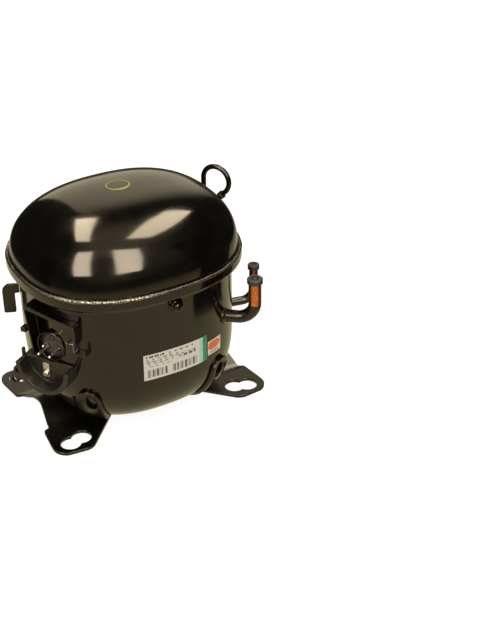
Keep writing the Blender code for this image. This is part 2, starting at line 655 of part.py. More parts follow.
def motor():
    """Lamination stack, its two windings and the four bolts that hold it to the block."""
    corner = 0.009
    outline = []
    for sx, sy, start in ((1, 1, 0), (-1, 1, 90), (-1, -1, 180), (1, -1, 270)):
        centre = (CRANK_X + sx * (STATOR_HALF_X - corner), sy * (STATOR_HALF_Y - corner))
        outline += arc(centre, corner, start, start + 90, 3)
    stack = plate(outline, *STATOR_Z)
    stack = cut(stack, cylinder(0.0313, 0.03, 0.12, (CRANK_X, 0.0), 24))
    for x, y in corners():
        stack = cut(stack, cylinder(0.0033, 0.03, 0.12, (x, y), 12))
    keep("stator_core", stack, LAMINATION)
    ends = {"winding_top": (STATOR_Z[1] + GAP, 0.1115), "winding_bottom": (STATOR_Z[0] - GAP, 0.0305)}
    for name, (near, far) in ends.items():
        shoulder = far - math.copysign(0.003, far - near)
        loop = [(0.0345, near), (0.0345, shoulder), (0.0375, far), (0.0430, far), (0.0460, shoulder),
                (0.0460, near)]
        keep(name, moved(turned(loop, 20, ring=True), Matrix.Translation((CRANK_X, 0, 0))), WINDING)
    for number, (x, y) in enumerate(corners(), 1):
        head = cylinder(0.0042, 0.0430, STATOR_Z[0] - GAP, (x, y), 6)
        bolt = join(head, cylinder(0.0030, 0.0450, 0.1255, (x, y), 12))
        keep(f"stator_bolt_{number}", bolt, STEEL)


def cylinder_block():
    """Cast frame: plate on four legs, shaft bearing below it and the cylinder on top."""
    body = box((CRANK_X - 0.051, -0.045, PLATE_Z[0]), (CRANK_X + 0.051, 0.045, PLATE_Z[1]), 0.003)
    inside = PLATE_Z[0] + 0.002
    for x, y in corners():
        body = join(body, cylinder(0.0068, STATOR_Z[1] + GAP, inside, (x, y), 16))
    body = join(body, cylinder(0.0145, 0.0990, inside, (CRANK_X, 0.0), 24))
    barrel = box((0.0305, -HEAD_HALF, inside), (BLOCK_FACE, HEAD_HALF, AXIS_Z + HEAD_HALF), 0.004)
    body = join(body, barrel)
    body = cut(body, cylinder(SHAFT_R + GAP, 0.09, 0.15, (CRANK_X, 0.0), 24))
    bore = cylinder(BORE_R, 0.02, 0.08, sides=24)
    body = cut(body, moved(bore, toward((1, 0, 0), (0, 0, AXIS_Z))))
    for x, y in corners():
        body = cut(body, cylinder(0.0033, 0.09, 0.1260, (x, y), 12))
    for y, z in head_bolt_places():
        drill = cylinder(0.0023, BLOCK_FACE - 0.010, BLOCK_FACE + 0.01, sides=10)
        body = cut(body, moved(drill, toward((1, 0, 0), (0, y, z))))
    keep("cylinder_block", body, CAST_IRON)


def head_bolt_places():
    return [(sy * HEAD_BOLT, AXIS_Z + sz * HEAD_BOLT) for sy in (1, -1) for sz in (1, -1)]


def head_drills():
    return [moved(cylinder(0.0023, 0.06, 0.10, sides=10), toward((1, 0, 0), (0, y, z)))
            for y, z in head_bolt_places()]


def reed(name, y, x0):
    """Flat tongue over one port, hinged at its root; x0 is the face nearest the crank."""
    root = AXIS_Z + REED_ROOT
    tongue = [(y + REED_HALF, root), (y - REED_HALF, root)] + arc((y, AXIS_Z), REED_HALF, 180, 360, 8)
    blade = moved(plate(tongue, x0, x0 + REED_SHEET), ON_EDGE)
    keep_at((x0 + REED_SHEET / 2, y, root), name, blade, SPRING_STEEL)


def cylinder_top():
    """Valve plate, its two reeds, the head with its two chambers, and four bolts."""
    low, high = AXIS_Z - HEAD_HALF, AXIS_Z + HEAD_HALF
    ports = [moved(cylinder(PORT_R, 0.06, 0.08, sides=12), toward((1, 0, 0), (0, y, AXIS_Z)))
             for y in (PORT_Y, -PORT_Y)]
    port_plate = box((PLATE_X[0], -HEAD_HALF, low), (PLATE_X[1], HEAD_HALF, high))
    keep("valve_plate", cut(port_plate, *ports, *head_drills()), STEEL)
    reed("suction_reed", PORT_Y, PLATE_X[0] - GAP - REED_SHEET)
    reed("discharge_reed", -PORT_Y, PLATE_X[1] + GAP)
    head = box((HEAD_X[0], -HEAD_HALF, low), (HEAD_X[1], HEAD_HALF, high), 0.002)
    for side in (1, -1):
        y0, y1 = sorted((side * 0.0012, side * 0.0125))
        chamber = box((HEAD_X[0] - 0.002, y0, AXIS_Z - 0.0110), (HEAD_X[1] - 0.003, y1, AXIS_Z + 0.0110))
        head = cut(head, chamber)
    keep("cylinder_head", cut(head, *head_drills()), ALUMINIUM)
    for number, (y, z) in enumerate(head_bolt_places(), 1):
        bolt = join(cylinder(0.0038, HEAD_X[1] + GAP, HEAD_X[1] + 0.0032, sides=6),
                    cylinder(0.0020, BLOCK_FACE - 0.008, HEAD_X[1] + 0.001, sides=10))
        keep(f"head_bolt_{number}", moved(bolt, toward((1, 0, 0), (0, y, z))), STEEL)


def mufflers():
    """Plastic suction box over the cylinder, and the pressed discharge drum on the block's plate."""
    case = box((0.0420, -0.0200, AXIS_Z + 0.0230), (0.0735, 0.0200, AXIS_Z + 0.0365), 0.004)
    neck = cylinder(0.0050, AXIS_Z + HEAD_HALF + GAP, AXIS_Z + 0.025, (0.0740, 0.0065), 14)
    keep("suction_muffler", join(case, neck), NATURAL_PLASTIC)
    foot = PLATE_Z[1] + GAP
    drum = [(0.0, 0.1560), (0.0070, 0.1560), (0.0125, 0.1530), (0.0125, foot), (0.0, foot)]
    keep("discharge_muffler", moved(turned(drum, 22), Matrix.Translation((*DISCHARGE_MUFFLER, 0))), STEEL)


def suspension():
    for number, (x, y) in enumerate(corners(), 1):
        stud = [(0.0, 0.0250), (0.0030, 0.0250), (0.0040, 0.0230), (0.0040, 0.0164), (0.0064, 0.0164),
                (0.0064, 0.0150), (0.0, 0.0150)]
        keep(f"spring_stud_{number}", moved(turned(stud, 12), Matrix.Translation((x, y, 0))), STEEL)
        count = int(SPRING_TURNS * 8)
        coil = []
        for i in range(count + 1):
            angle = 2 * math.pi * SPRING_TURNS * i / count
            z = SPRING_Z[0] + (SPRING_Z[1] - SPRING_Z[0]) * i / count
            coil.append((x + SPRING_R * math.cos(angle), y + SPRING_R * math.sin(angle), z))
        keep(f"suspension_spring_{number}", tube(coil, SPRING_WIRE_R, resolution=1), SPRING_STEEL, smooth=80)


def smooth_path(knots, steps):
    """Catmull-Rom curve through a list of knots."""
    knots = [Vector(knot) for knot in knots]
    path = []
    for a, b, c, d in zip([knots[0]] + knots, knots, knots[1:], knots[2:] + [knots[-1]]):
        for step in range(steps):
            t = step / steps
            bend = (2 * a - 5 * b + 4 * c - d) * t ** 2 + (3 * b - a - 3 * c + d) * t ** 3
            path.append(0.5 * (2 * b + (c - a) * t + bend))
    return path + [knots[-1]]


def discharge_loop():
    """Springy tube that carries the gas from the muffler to the can's discharge tube."""
    x, y = DISCHARGE_MUFFLER
    knots = [(x, y, 0.1568), (x, y, 0.1640), (x + 0.006, y + 0.012, 0.1700), (-0.0150, 0.0620, 0.1600),
             (0.0080, 0.0680, 0.1350), (0.0320, 0.0660, 0.1080), (0.0560, 0.0520, 0.0960),
             (0.0700, 0.0300, 0.0880), (0.0755, 0.0050, 0.0800), (0.0745, -0.0180, 0.0765),
             (0.0790, -0.0275, 0.0765)]
    keep("discharge_loop", tube(smooth_path(knots, 3), 0.0020, resolution=1), COPPER, smooth=80)


def motor_connector():
    """Plastic block on the inner ends of the three pins."""
    low = (TERM_T - 0.0105, TERM_Z - 0.0080, 0.0715)
    high = (TERM_T + 0.0105, TERM_Z + 0.0110, 0.0842)
    body = term_box(low, high, 0.0015)
    for t, z in pin_places():
        body = cut(body, moved(cylinder(PIN_R + GAP, 0.078, 0.090, sides=12), term_matrix(t, z, 0.0)))
    keep("motor_connector", body, NATURAL_PLASTIC)


# ---------------------------------------------------------------- crank train, at top dead centre
def crankshaft():
    """Shaft, counterweighted web and crankpin, with the plug of the pin's oil gallery."""
    pin_x, gallery_x = CRANK_X + THROW, CRANK_X + THROW / 2
    web = (AXIS_Z - 0.0140, AXIS_Z - 0.0075)
    inside = 0.002
    shaft = cylinder(SHAFT_R, 0.0260, web[0] + inside, (CRANK_X, 0.0), 24)
    shaft = join(shaft, cylinder(0.0165, *web, (CRANK_X, 0.0), 24))
    shaft = join(shaft, cylinder(0.0170, *web, (CRANK_X - 0.0070, 0.0), 24))
    shaft = join(shaft, cylinder(PIN_JOURNAL_R, web[1] - inside, AXIS_Z + 0.0075, (pin_x, 0.0), 24))
    shaft = cut(shaft, cylinder(0.0025, AXIS_Z + 0.0030, AXIS_Z + 0.0100, (gallery_x, 0.0), 12))
    keep_at((CRANK_X, 0.0, 0.0), "crankshaft", shaft, STEEL)
    stopper = cylinder(0.0021, AXIS_Z + 0.0035, AXIS_Z + 0.0070, sides=12)
    keep("oil_gallery_plug", stopper, ZINC, Matrix.Translation((gallery_x, 0, 0)))


def rotor_and_pickup():
    """Rotor with its end rings, and the cone that lifts oil into the shaft."""
    place = Matrix.Translation((CRANK_X, 0, 0))
    rotor = [(0.0084, 0.0960), (0.0290, 0.0960), (0.0290, 0.0915), (0.0306, 0.0915), (0.0306, 0.0505),
             (0.0290, 0.0505), (0.0290, 0.0460), (0.0084, 0.0460)]
    keep("rotor", turned(rotor, 22, ring=True), ALUMINIUM, place)
    pickup = [(0.0086, 0.0330), (0.0100, 0.0330), (0.0100, 0.0240), (0.0042, 0.0095), (0.0028, 0.0095),
              (0.0086, 0.0240)]
    keep("oil_pickup", turned(pickup, 18, ring=True), STEEL, place)


def piston_and_ball():
    """Piston, the ring that holds the rod's ball in it, and the ball; origins at the ball's centre."""
    place = toward((1, 0, 0), (BALL_X, 0, AXIS_Z))
    crown, chamfer, skirt_r = PISTON_HALF, 0.0004, 0.0103
    profile = [(0.0, crown), (PISTON_R - chamfer, crown), (PISTON_R, crown - chamfer), (PISTON_R, -crown),
               (skirt_r, -crown), (skirt_r, 0.0040), (0.0080, 0.0070), (0.0, 0.0070)]
    keep("piston", turned(profile, 24), CAST_IRON, place)
    ring = [(0.0064, -0.0025), (0.0098, -0.0025), (0.0098, -0.0070), (0.0056, -0.0070)]
    keep("ball_retainer", turned(ring, 24, ring=True), STEEL, place)
    work = bmesh.new()
    bmesh.ops.create_uvsphere(work, u_segments=14, v_segments=10, radius=BALL_R)
    ball_mesh = bpy.data.meshes.new("ball")
    work.to_mesh(ball_mesh)
    work.free()
    socket = cylinder(ROD_TIP_R + GAP, -0.02, 0.0, sides=14)
    keep("rod_ball", cut(new_object("shape", ball_mesh), socket), STEEL, place)


def connecting_rod():
    """Rod from the ball's socket back to the eye on the crankpin; the origin is the ball's centre."""
    eye_at = Matrix.Translation((0, 0, -(ROD + EYE_SHIFT))) @ Matrix.Rotation(math.pi / 2, 4, "X")
    shoulder, neck = -0.0106, -0.0072
    rod = moved(cylinder(0.0115, -0.0050, 0.0050, sides=24), eye_at)
    shank = cylinder(SHANK_R, -ROD + 0.009, shoulder + 0.0001, sides=12)
    shank = join(shank, cylinder(SHANK_R, shoulder, neck, sides=12, top_radius=ROD_TIP_R))
    shank = join(shank, cylinder(ROD_TIP_R, neck - GAP, -0.0004, sides=12))
    eye = moved(cylinder(PIN_JOURNAL_R + CRANKPIN_PLAY, -0.02, 0.02, sides=24), eye_at)
    keep("connecting_rod", cut(join(rod, shank), eye), CAST_IRON, toward((1, 0, 0), (BALL_X, 0, AXIS_Z)))


def build():
    bottom_shell()
    top_shell()
    seam_weld()
    bracket("right_base_bracket", 0.0)
    bracket("left_base_bracket", math.pi)
    terminal_fence()
    terminal()
    terminal_cradle()
    earth_parts()
    cover_lug()
    service_tubes()
    process_tube()
    accessory_mount()
    motor()
    cylinder_block()
    cylinder_top()
    mufflers()
    suspension()
    discharge_loop()
    motor_connector()
    crankshaft()
    rotor_and_pickup()
    piston_and_ball()
    connecting_rod()


build()
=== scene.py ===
import math

import bmesh
import bpy
from mathutils import Matrix, Vector, noise


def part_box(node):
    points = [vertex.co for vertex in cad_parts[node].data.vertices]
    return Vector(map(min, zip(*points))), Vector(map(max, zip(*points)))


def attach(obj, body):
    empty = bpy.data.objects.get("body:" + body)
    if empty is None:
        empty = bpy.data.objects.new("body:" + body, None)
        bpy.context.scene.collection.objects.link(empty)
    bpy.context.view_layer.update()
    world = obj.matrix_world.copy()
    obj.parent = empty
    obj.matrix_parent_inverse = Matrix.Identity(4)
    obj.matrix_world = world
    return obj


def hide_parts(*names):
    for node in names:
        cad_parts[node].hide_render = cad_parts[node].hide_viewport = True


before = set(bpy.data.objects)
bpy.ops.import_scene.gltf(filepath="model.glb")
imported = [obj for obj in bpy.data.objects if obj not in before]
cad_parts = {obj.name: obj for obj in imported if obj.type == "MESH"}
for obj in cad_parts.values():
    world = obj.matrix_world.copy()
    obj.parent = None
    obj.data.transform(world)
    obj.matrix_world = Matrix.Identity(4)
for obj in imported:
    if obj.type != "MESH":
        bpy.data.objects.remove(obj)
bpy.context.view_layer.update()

# ---- sizes
RIM_A, RIM_B, RIM_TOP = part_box("bottom_shell")[1]
DOME_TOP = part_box("top_shell")[1].z + 0.0004  # the curve's top is just above the faceted one
GAP = 0.0003
PLAN_POWER = 2.4
RIM_STEP = 0.009
WALL_A, WALL_B = RIM_A - RIM_STEP, RIM_B - RIM_STEP
SHELL_WALL = 0.0032
BOWL_BOTTOM, BOWL_CURVE, BOWL_POWER, BOWL_DRAFT = 0.0008, 0.075, 3.3, 0.02
FLARE_FOOT, FLARE_EDGE, RIM_BAND = 0.1310, 0.1383, 0.1405
SKIRT_BOTTOM, SKIRT_INSET = 0.1412, 0.0034
DOME_POWER, DOME_LEAN = 2.45, (0.0070, -0.0040)
FINE = 192  # segments round the can

SHEET = 0.003
PAD_BEND, SADDLE_HALF, SADDLE_RISE, BEND_R = 0.031, 0.009, 0.011, 0.0050
SLOT_OUTER, SLOT_INNER, SLOT_R = (0.0907, 0.0618), (0.0792, 0.0580), 0.0092
EAR_ANGLES = (math.radians(-55.0), math.radians(43.0))
EAR_TOP, EAR_WIDE, EAR_NARROW, EAR_SLANT, EAR_INNER = 0.052, 0.0145, 0.0085, 0.014, 0.045
WINDOW_Z, WINDOW_R, WINDOW_RATIO = 0.040, 0.0085, 0.62

TERM_ANGLE = math.radians(-146.4)
TERM_T, TERM_Z, TERM_R, TERM_FACE = -0.0195, 0.0915, 0.0142, 0.0975
PIN_CIRCLE, PIN_R = 0.0064, 0.0012
FENCE_FACE, FENCE_SETBACK = 0.1045, 0.0060
EARTH_AT, EARTH_BORE = (-0.0250, 0.0640), 0.0017
CLIP_HOOK = 0.0080  # along the terminal plane, where the clip's black hook begins
CRADLE_EYES = ((-0.0530, 0.0610), (-0.0580, 0.0500))
LUG_ANGLE = math.radians(157.0)

SUCTION_R, DISCHARGE_R, PROCESS_R = 0.0058, 0.0042, 0.0025
STUB_WALL, PROCESS_WALL = 0.0009, 0.0007
SUCTION = dict(entry=(0.0640, -0.0690, 0.0910), angle=math.radians(-41.2), reach=0.0274,
               bend=0.0160, top=0.1290)
DISCHARGE = dict(entry=(0.0900, -0.0300, 0.0765), angle=math.radians(-12.0), reach=0.0245,
                 bend=0.0120, top=0.1105)
SUCTION_PAINT, DISCHARGE_PAINT = 0.1060, 0.1005  # heights where the paint ends on the stubs
PROCESS_LEG, PROCESS_HOLE_Z, PROCESS_START = (0.1040, 0.0400), 0.100, 0.083
PROCESS_LOOP_Z, PROCESS_LOOP_R, PROCESS_LOOP_DIR = 0.1742, 0.0138, math.radians(-60.0)
PROCESS_SWEEP, PROCESS_TAIL, PROCESS_CHORDS = 232.0, 0.0040, 15  # the frame's loop has that many chords
PLUG_SKIRT, PLUG_CROWN, PLUG_WALL = 0.0018, 0.0028, 0.0013
TUBE_INSIDE = 0.0085  # length of a stub inside the can
BOSS_AT = (0.0065, -WALL_B, 0.1277)

LABEL_X, LABEL_Z = (-0.0260, 0.0378), (0.0588, 0.0850)
LABEL_MINT, LABEL_GREEN = 0.0290, 0.0332  # x where the light and the full green edge begin
STICKER_X, STICKER_Z = (0.0390, 0.0552), (0.0622, 0.0768)
SHEET_BACK, SHEET_FACE = 0.00012, 0.00030  # the printed sheets' two sides, off the wall
MARK_AT, MARK_R = (0.001, 0.0075), 0.0108

ON_EDGE = Matrix(((0, 0, 1, 0), (1, 0, 0, 0), (0, 1, 0, 0), (0, 0, 0, 1)))


# ---- materials
def add_node(tree, kind, inputs, output=0, **settings):
    """New node's output; each input, by name or number, takes a value or another node's output."""
    made = tree.nodes.new(kind)
    for key, value in settings.items():
        setattr(made, key, value)
    for key, source in inputs.items():
        if isinstance(source, bpy.types.NodeSocket):
            tree.links.new(source, made.inputs[key])
        else:
            made.inputs[key].default_value = source
    return made.outputs[output]


def map_range(tree, source, low, high, to_low=0.0, to_high=1.0, easing="LINEAR"):
    inputs = {"Value": source, "From Min": low, "From Max": high, "To Min": to_low, "To Max": to_high}
    return add_node(tree, "ShaderNodeMapRange", inputs, "Result", interpolation_type=easing)


class Look:
    """A node material under construction, in object coordinates."""

    def __init__(self, name, roughness, metallic=0.0, tint=(1.0, 1.0, 1.0)):
        self.material = bpy.data.materials.new(name)
        self.material.use_nodes = True
        self.tree = self.material.node_tree
        self.shader = self.tree.nodes["Principled BSDF"]
        self.shader.inputs["Roughness"].default_value = roughness
        self.shader.inputs["Metallic"].default_value = metallic
        self.shader.inputs["Specular Tint"].default_value = (*tint, 1.0)
        self.place = add_node(self.tree, "ShaderNodeTexCoord", {}, "Object")

    def add(self, kind, inputs, output=0, **settings):
        return add_node(self.tree, kind, inputs, output, **settings)

    def noise(self, scale, detail=3.0):
        return self.add("ShaderNodeTexNoise", {"Vector": self.place, "Scale": scale, "Detail": detail})

    def bands(self, scale, direction="Z", distortion=0.0):
        inputs = {"Vector": self.place, "Scale": scale, "Distortion": distortion}
        return self.add("ShaderNodeTexWave", inputs, "Fac", bands_direction=direction)

    def span(self, source, low, high, to_low=0.0, to_high=1.0):
        return map_range(self.tree, source, low, high, to_low, to_high)

    def along(self, axis):
        """One coordinate of the point."""
        return self.add("ShaderNodeSeparateXYZ", {"Vector": self.place}, axis)

    def mix(self, factor, first, second):
        """Blend of two colours, each plain or from a node."""
        first, second = ((*c, 1.0) if isinstance(c, tuple) else c for c in (first, second))
        return self.add("ShaderNodeMix", {"Factor": factor, 6: first, 7: second}, 2, data_type="RGBA")

    def drive(self, socket, source):
        self.tree.links.new(source, self.shader.inputs[socket])
        return self

    def colour(self, source):
        return self.drive("Base Color", source)

    def rough(self, source):
        return self.drive("Roughness", source)

    def wander(self, scale, low, high, detail=3.0):
        """Roughness that drifts between two values in patches."""
        return self.rough(self.span(self.noise(scale, detail), 0.3, 0.7, low, high))

    def relief(self, source, depth):
        bump = self.add("ShaderNodeBump", {"Distance": depth, "Height": source}, "Normal")
        return self.drive("Normal", bump)


def surface(name, dark, light, rough, metallic=0.0, grain=220.0, relief_grain=900.0, depth=4e-6,
            tint=(1.0, 1.0, 1.0)):
    """Finish whose colour, gloss and fine relief wander with noise."""
    look = Look(name, rough[0], metallic, tint)
    look.colour(look.mix(look.span(look.noise(grain), 0.35, 0.68), dark, light))
    look.wander(grain * 0.4, *rough)
    look.relief(look.noise(relief_grain, 2.0), depth)
    return look


WARM = (1.0, 0.95, 0.84)


def enamel(name, rough, depth):
    """Black baked enamel: faint orange peel, dust in places and slightly duller patches."""
    look = Look(name, rough[0], 0.0, WARM)
    haze = look.span(look.noise(70.0, 5.0), 0.45, 0.80)
    specks = look.span(look.noise(2600.0, 1.0), 0.70, 0.78)
    base = look.mix(haze, (0.0022, 0.0020, 0.0014), (0.0052, 0.0047, 0.0036))
    look.colour(look.mix(specks, base, (0.030, 0.028, 0.022)))
    look.wander(45.0, *rough, detail=4.0)
    look.relief(look.noise(420.0, 2.0), depth)
    return look


def part_painted(name, paint_top, bright, dull):
    """Copper stub: black paint up to a ragged line, bare and slightly tarnished copper above it."""
    look = Look(name, 0.25, 1.0, WARM)
    ragged = look.add("ShaderNodeMath", {0: look.noise(260.0), 1: 0.0016}, operation="MULTIPLY")
    height = look.add("ShaderNodeMath", {0: look.along("Z"), 1: ragged}, operation="ADD")
    bare = look.span(height, paint_top + 0.0006, paint_top + 0.0012)
    copper = look.mix(look.span(look.noise(500.0), 0.35, 0.7), bright, dull)
    paint = look.mix(look.span(look.noise(160.0), 0.4, 0.8), (0.004, 0.0037, 0.003), (0.011, 0.010, 0.007))
    look.colour(look.mix(bare, paint, copper))
    look.drive("Metallic", bare)
    look.rough(look.span(bare, 0.0, 1.0, 0.26, 0.30))
    return look.relief(look.noise(700.0), 1.2e-5)


def lamination():
    """Edges of stacked steel sheets."""
    look = Look("lamination_stack", 0.4, 0.9)
    sheets = look.bands(1000.0)
    look.colour(look.mix(sheets, (0.10, 0.105, 0.115), (0.36, 0.37, 0.39)))
    look.wander(300.0, 0.34, 0.55)
    return look.relief(sheets, 6e-5)


def winding():
    """Enamelled wire laid round and round."""
    look = Look("winding_wire", 0.35, 0.5)
    turns = look.bands(650.0, "DIAGONAL", 3.0)
    look.colour(look.mix(turns, (0.20, 0.055, 0.018), (0.58, 0.22, 0.085)))
    look.wander(400.0, 0.28, 0.45)
    return look.relief(turns, 1.5e-4)


def weld_metal():
    """Weld bead under paint, with painted glints: bright metallic flecks, most of them on the left."""
    look = Look("weld_bead", 0.2, 0.0, WARM)
    grains = look.span(look.noise(620.0, 6.0), 0.43, 0.58)
    # painted glints: bright metallic flecks, thickest on the left and thinning out at the far left end
    left = look.span(look.along("X"), 0.000, -0.030, 0.14, 0.80)
    end = look.span(look.along("X"), -0.098, -0.086, 0.12, 1.0)
    glint_spread = look.add("ShaderNodeMath", {0: left, 1: end}, operation="MULTIPLY")
    painted_glint = look.add("ShaderNodeMath", {0: grains, 1: glint_spread}, operation="MULTIPLY")
    paint = look.mix(look.span(look.noise(900.0), 0.35, 0.7), (0.008, 0.007, 0.006), (0.030, 0.027, 0.020))
    look.colour(look.mix(painted_glint, paint, (0.42, 0.37, 0.29)))
    look.drive("Metallic", painted_glint)
    look.wander(500.0, 0.14, 0.36)
    return look.relief(look.noise(1500.0, 3.0), 6e-5)


LOOKS = {
    "enamel": enamel("can_enamel", (0.085, 0.15), 2.2e-6),
    "bracket_enamel": enamel("bracket_enamel", (0.20, 0.32), 8e-6),
    "fitting_enamel": enamel("fitting_enamel", (0.16, 0.30), 6e-6),
    "weld": weld_metal(),
    "suction_copper": part_painted("suction_copper", SUCTION_PAINT, (0.72, 0.25, 0.08), (0.46, 0.14, 0.042)),
    "discharge_copper": part_painted("discharge_copper", DISCHARGE_PAINT, (0.34, 0.11, 0.05),
                                     (0.20, 0.06, 0.03)),
    "copper": surface("copper_tube", (0.55, 0.20, 0.08), (0.80, 0.36, 0.16), (0.22, 0.38), 1.0),
    "braze": surface("brazed_collar", (0.012, 0.010, 0.005), (0.060, 0.045, 0.020), (0.22, 0.36), 0.3,
                     grain=420.0, relief_grain=700.0, depth=6e-5, tint=WARM),
    "steel": surface("machined_steel", (0.36, 0.36, 0.35), (0.58, 0.58, 0.57), (0.22, 0.38), 1.0),
    "pin": surface("pin_metal", (0.62, 0.53, 0.49), (0.86, 0.78, 0.74), (0.20, 0.34), 1.0, grain=900.0),
    "zinc": surface("zinc_plating", (0.52, 0.47, 0.35), (0.76, 0.72, 0.60), (0.26, 0.42), 1.0, grain=500.0),
    "spring": surface("spring_wire", (0.22, 0.22, 0.22), (0.42, 0.42, 0.42), (0.24, 0.40), 1.0),
    "rubber": surface("cap_rubber", (0.017, 0.016, 0.012), (0.038, 0.036, 0.028), (0.48, 0.66), grain=500.0,
                      depth=2e-5),
    "plastic": surface("moulded_plastic", (0.006, 0.006, 0.005), (0.017, 0.016, 0.013), (0.30, 0.48),
                       grain=350.0, relief_grain=1600.0, depth=1.2e-5, tint=WARM),
    "seal": surface("glass_seal_dust", (0.018, 0.014, 0.008), (0.085, 0.064, 0.042), (0.40, 0.70),
                    grain=700.0, relief_grain=2200.0, depth=3e-5),
    "bead": surface("pin_glass", (0.020, 0.030, 0.022), (0.050, 0.070, 0.052), (0.06, 0.12), grain=800.0),
    "iron": surface("cast_iron", (0.085, 0.085, 0.085), (0.21, 0.21, 0.205), (0.45, 0.65), 0.85, grain=420.0,
                    relief_grain=1300.0, depth=6e-5),
    "aluminium": surface("die_cast_aluminium", (0.46, 0.47, 0.48), (0.66, 0.67, 0.68), (0.34, 0.50), 1.0,
                         relief_grain=1500.0, depth=2e-5),
    "natural": surface("natural_plastic", (0.60, 0.57, 0.48), (0.76, 0.73, 0.65), (0.40, 0.56)),
    "lamination": lamination(),
    "winding": winding(),
    "paper": surface("label_paper", (0.70, 0.62, 0.49), (0.78, 0.71, 0.58), (0.42, 0.56), grain=600.0),
    "ink": surface("label_ink", (0.075, 0.072, 0.062), (0.17, 0.165, 0.145), (0.40, 0.55), grain=900.0),
    "green": surface("label_green", (0.022, 0.200, 0.085), (0.045, 0.290, 0.135), (0.34, 0.48), grain=500.0),
    "mint": surface("label_mint", (0.34, 0.60, 0.44), (0.46, 0.70, 0.55), (0.36, 0.50), grain=500.0),
    "orange": surface("label_orange", (0.70, 0.120, 0.020), (0.84, 0.20, 0.04), (0.36, 0.50), grain=500.0),
    "mark": surface("dome_mark_paint", (0.30, 0.30, 0.020), (0.52, 0.52, 0.045), (0.32, 0.50), grain=700.0,
                    relief_grain=1500.0, depth=1e-5, tint=WARM),
}
FINISH = {name: look.material for name, look in LOOKS.items()}


# ---- mesh helpers
def new_object(data, name="shape"):
    made = bpy.data.objects.new(name, data)
    bpy.context.scene.collection.objects.link(made)
    return made


def built(work, name="shape"):
    """Object made from a finished bmesh."""
    mesh = bpy.data.meshes.new(name)
    work.to_mesh(mesh)
    work.free()
    return new_object(mesh, name)


def round_angles(count):
    return [2 * math.pi * i / count for i in range(count)]


def level(angle):
    """Level direction at an angle from +X, in radians."""
    return Vector((math.cos(angle), math.sin(angle), 0.0))


def settle(obj):
    """The object's evaluated mesh, welded and facing out; the object is removed."""
    bpy.context.view_layer.update()
    graph = bpy.context.evaluated_depsgraph_get()
    mesh = bpy.data.meshes.new_from_object(obj.evaluated_get(graph))
    mesh.transform(obj.matrix_world)
    work = bmesh.new()
    work.from_mesh(mesh)
    bmesh.ops.remove_doubles(work, verts=work.verts, dist=1e-6)
    bmesh.ops.dissolve_degenerate(work, edges=work.edges, dist=1e-7)
    bmesh.ops.recalc_face_normals(work, faces=work.faces)
    work.to_mesh(mesh)
    work.free()
    bpy.data.objects.remove(obj, do_unlink=True)
    return mesh


def moved(obj, matrix):
    obj.data.transform(matrix)
    return obj


def loft(rings, closed=False, pole=None, name="shape"):
    """Skin rings of points. A closed list is a hoop; otherwise both ends are capped, the last one by a
    fan to the pole when one is given."""
    work = bmesh.new()
    rows = [[work.verts.new(point) for point in ring] for ring in rings]
    count = len(rows[0])
    pairs = list(zip(rows, rows[1:]))
    if closed:
        pairs.append((rows[-1], rows[0]))
    for lower, upper in pairs:
        for i in range(count):
            work.faces.new((lower[i], lower[(i + 1) % count], upper[(i + 1) % count], upper[i]))
    if not closed:
        work.faces.new(rows[0][::-1])
        if pole is None:
            work.faces.new(rows[-1])
        else:
            tip = work.verts.new(pole)
            for i in range(count):
                work.faces.new((rows[-1][i], rows[-1][(i + 1) % count], tip))
    bmesh.ops.recalc_face_normals(work, faces=work.faces)
    return built(work, name)


def turned(profile, sides=48, ring=False):
    """Body of revolution about Z from (radius, height) points; a ring's profile closes."""
    rings = []
    for r, z in profile:
        r = max(r, 1e-5)
        rings.append([(r * math.cos(a), r * math.sin(a), z) for a in round_angles(sides)])
    return loft(rings, closed=ring)


def cylinder(radius, z0, z1, at=(0.0, 0.0), sides=48):
    return moved(turned([(radius, z0), (radius, z1)], sides), Matrix.Translation((*at, 0.0)))


def box(low, high):
    work = bmesh.new()
    bmesh.ops.create_cube(work, size=1.0)
    bmesh.ops.scale(work, vec=[h - l for l, h in zip(low, high)], verts=work.verts)
    bmesh.ops.translate(work, vec=[(h + l) / 2 for l, h in zip(low, high)], verts=work.verts)
    return built(work)


def plate(outline, z0, z1):
    """Flat plate: an outline in XY given thickness from z0 to z1."""
    return loft([[(x, y, z) for x, y in outline] for z in (z0, z1)])


def combine(obj, other, operation):
    step = obj.modifiers.new("step", "BOOLEAN")
    step.operation = operation
    step.solver = "EXACT"
    step.object = other
    made = settle(obj)
    bpy.data.objects.remove(other, do_unlink=True)
    return new_object(made)


def cut(obj, *others):
    for other in others:
        obj = combine(obj, other, "DIFFERENCE")
    return obj


def join(obj, *others):
    for other in others:
        obj = combine(obj, other, "UNION")
    return obj


def toward(direction, at):
    """Frame at a point with its +Z along a direction."""
    turn = Vector(direction).to_track_quat("Z", "Y").to_matrix().to_4x4()
    return Matrix.Translation(at) @ turn


def arc(centre, radius, start, end, steps):
    """Points of an arc, angles in degrees."""
    angles = [math.radians(start + (end - start) * i / steps) for i in range(steps + 1)]
    return [(centre[0] + radius * math.cos(a), centre[1] + radius * math.sin(a)) for a in angles]


def rounded(corners, radius, steps=5, closed=True):
    """Outline with its corners rounded by short curves."""
    points = []
    count = len(corners)
    for i, corner in enumerate(corners):
        if not closed and i in (0, count - 1):
            points.append(corner)
            continue
        here, before, after = Vector(corner), Vector(corners[i - 1]), Vector(corners[(i + 1) % count])
        back, ahead = before - here, after - here
        reach = min(radius, back.length * 0.45, ahead.length * 0.45)
        start, end = here + back.normalized() * reach, here + ahead.normalized() * reach
        for k in range(steps + 1):
            t = k / steps
            points.append(tuple(start * (1 - t) ** 2 + here * 2 * t * (1 - t) + end * t ** 2))
    return points


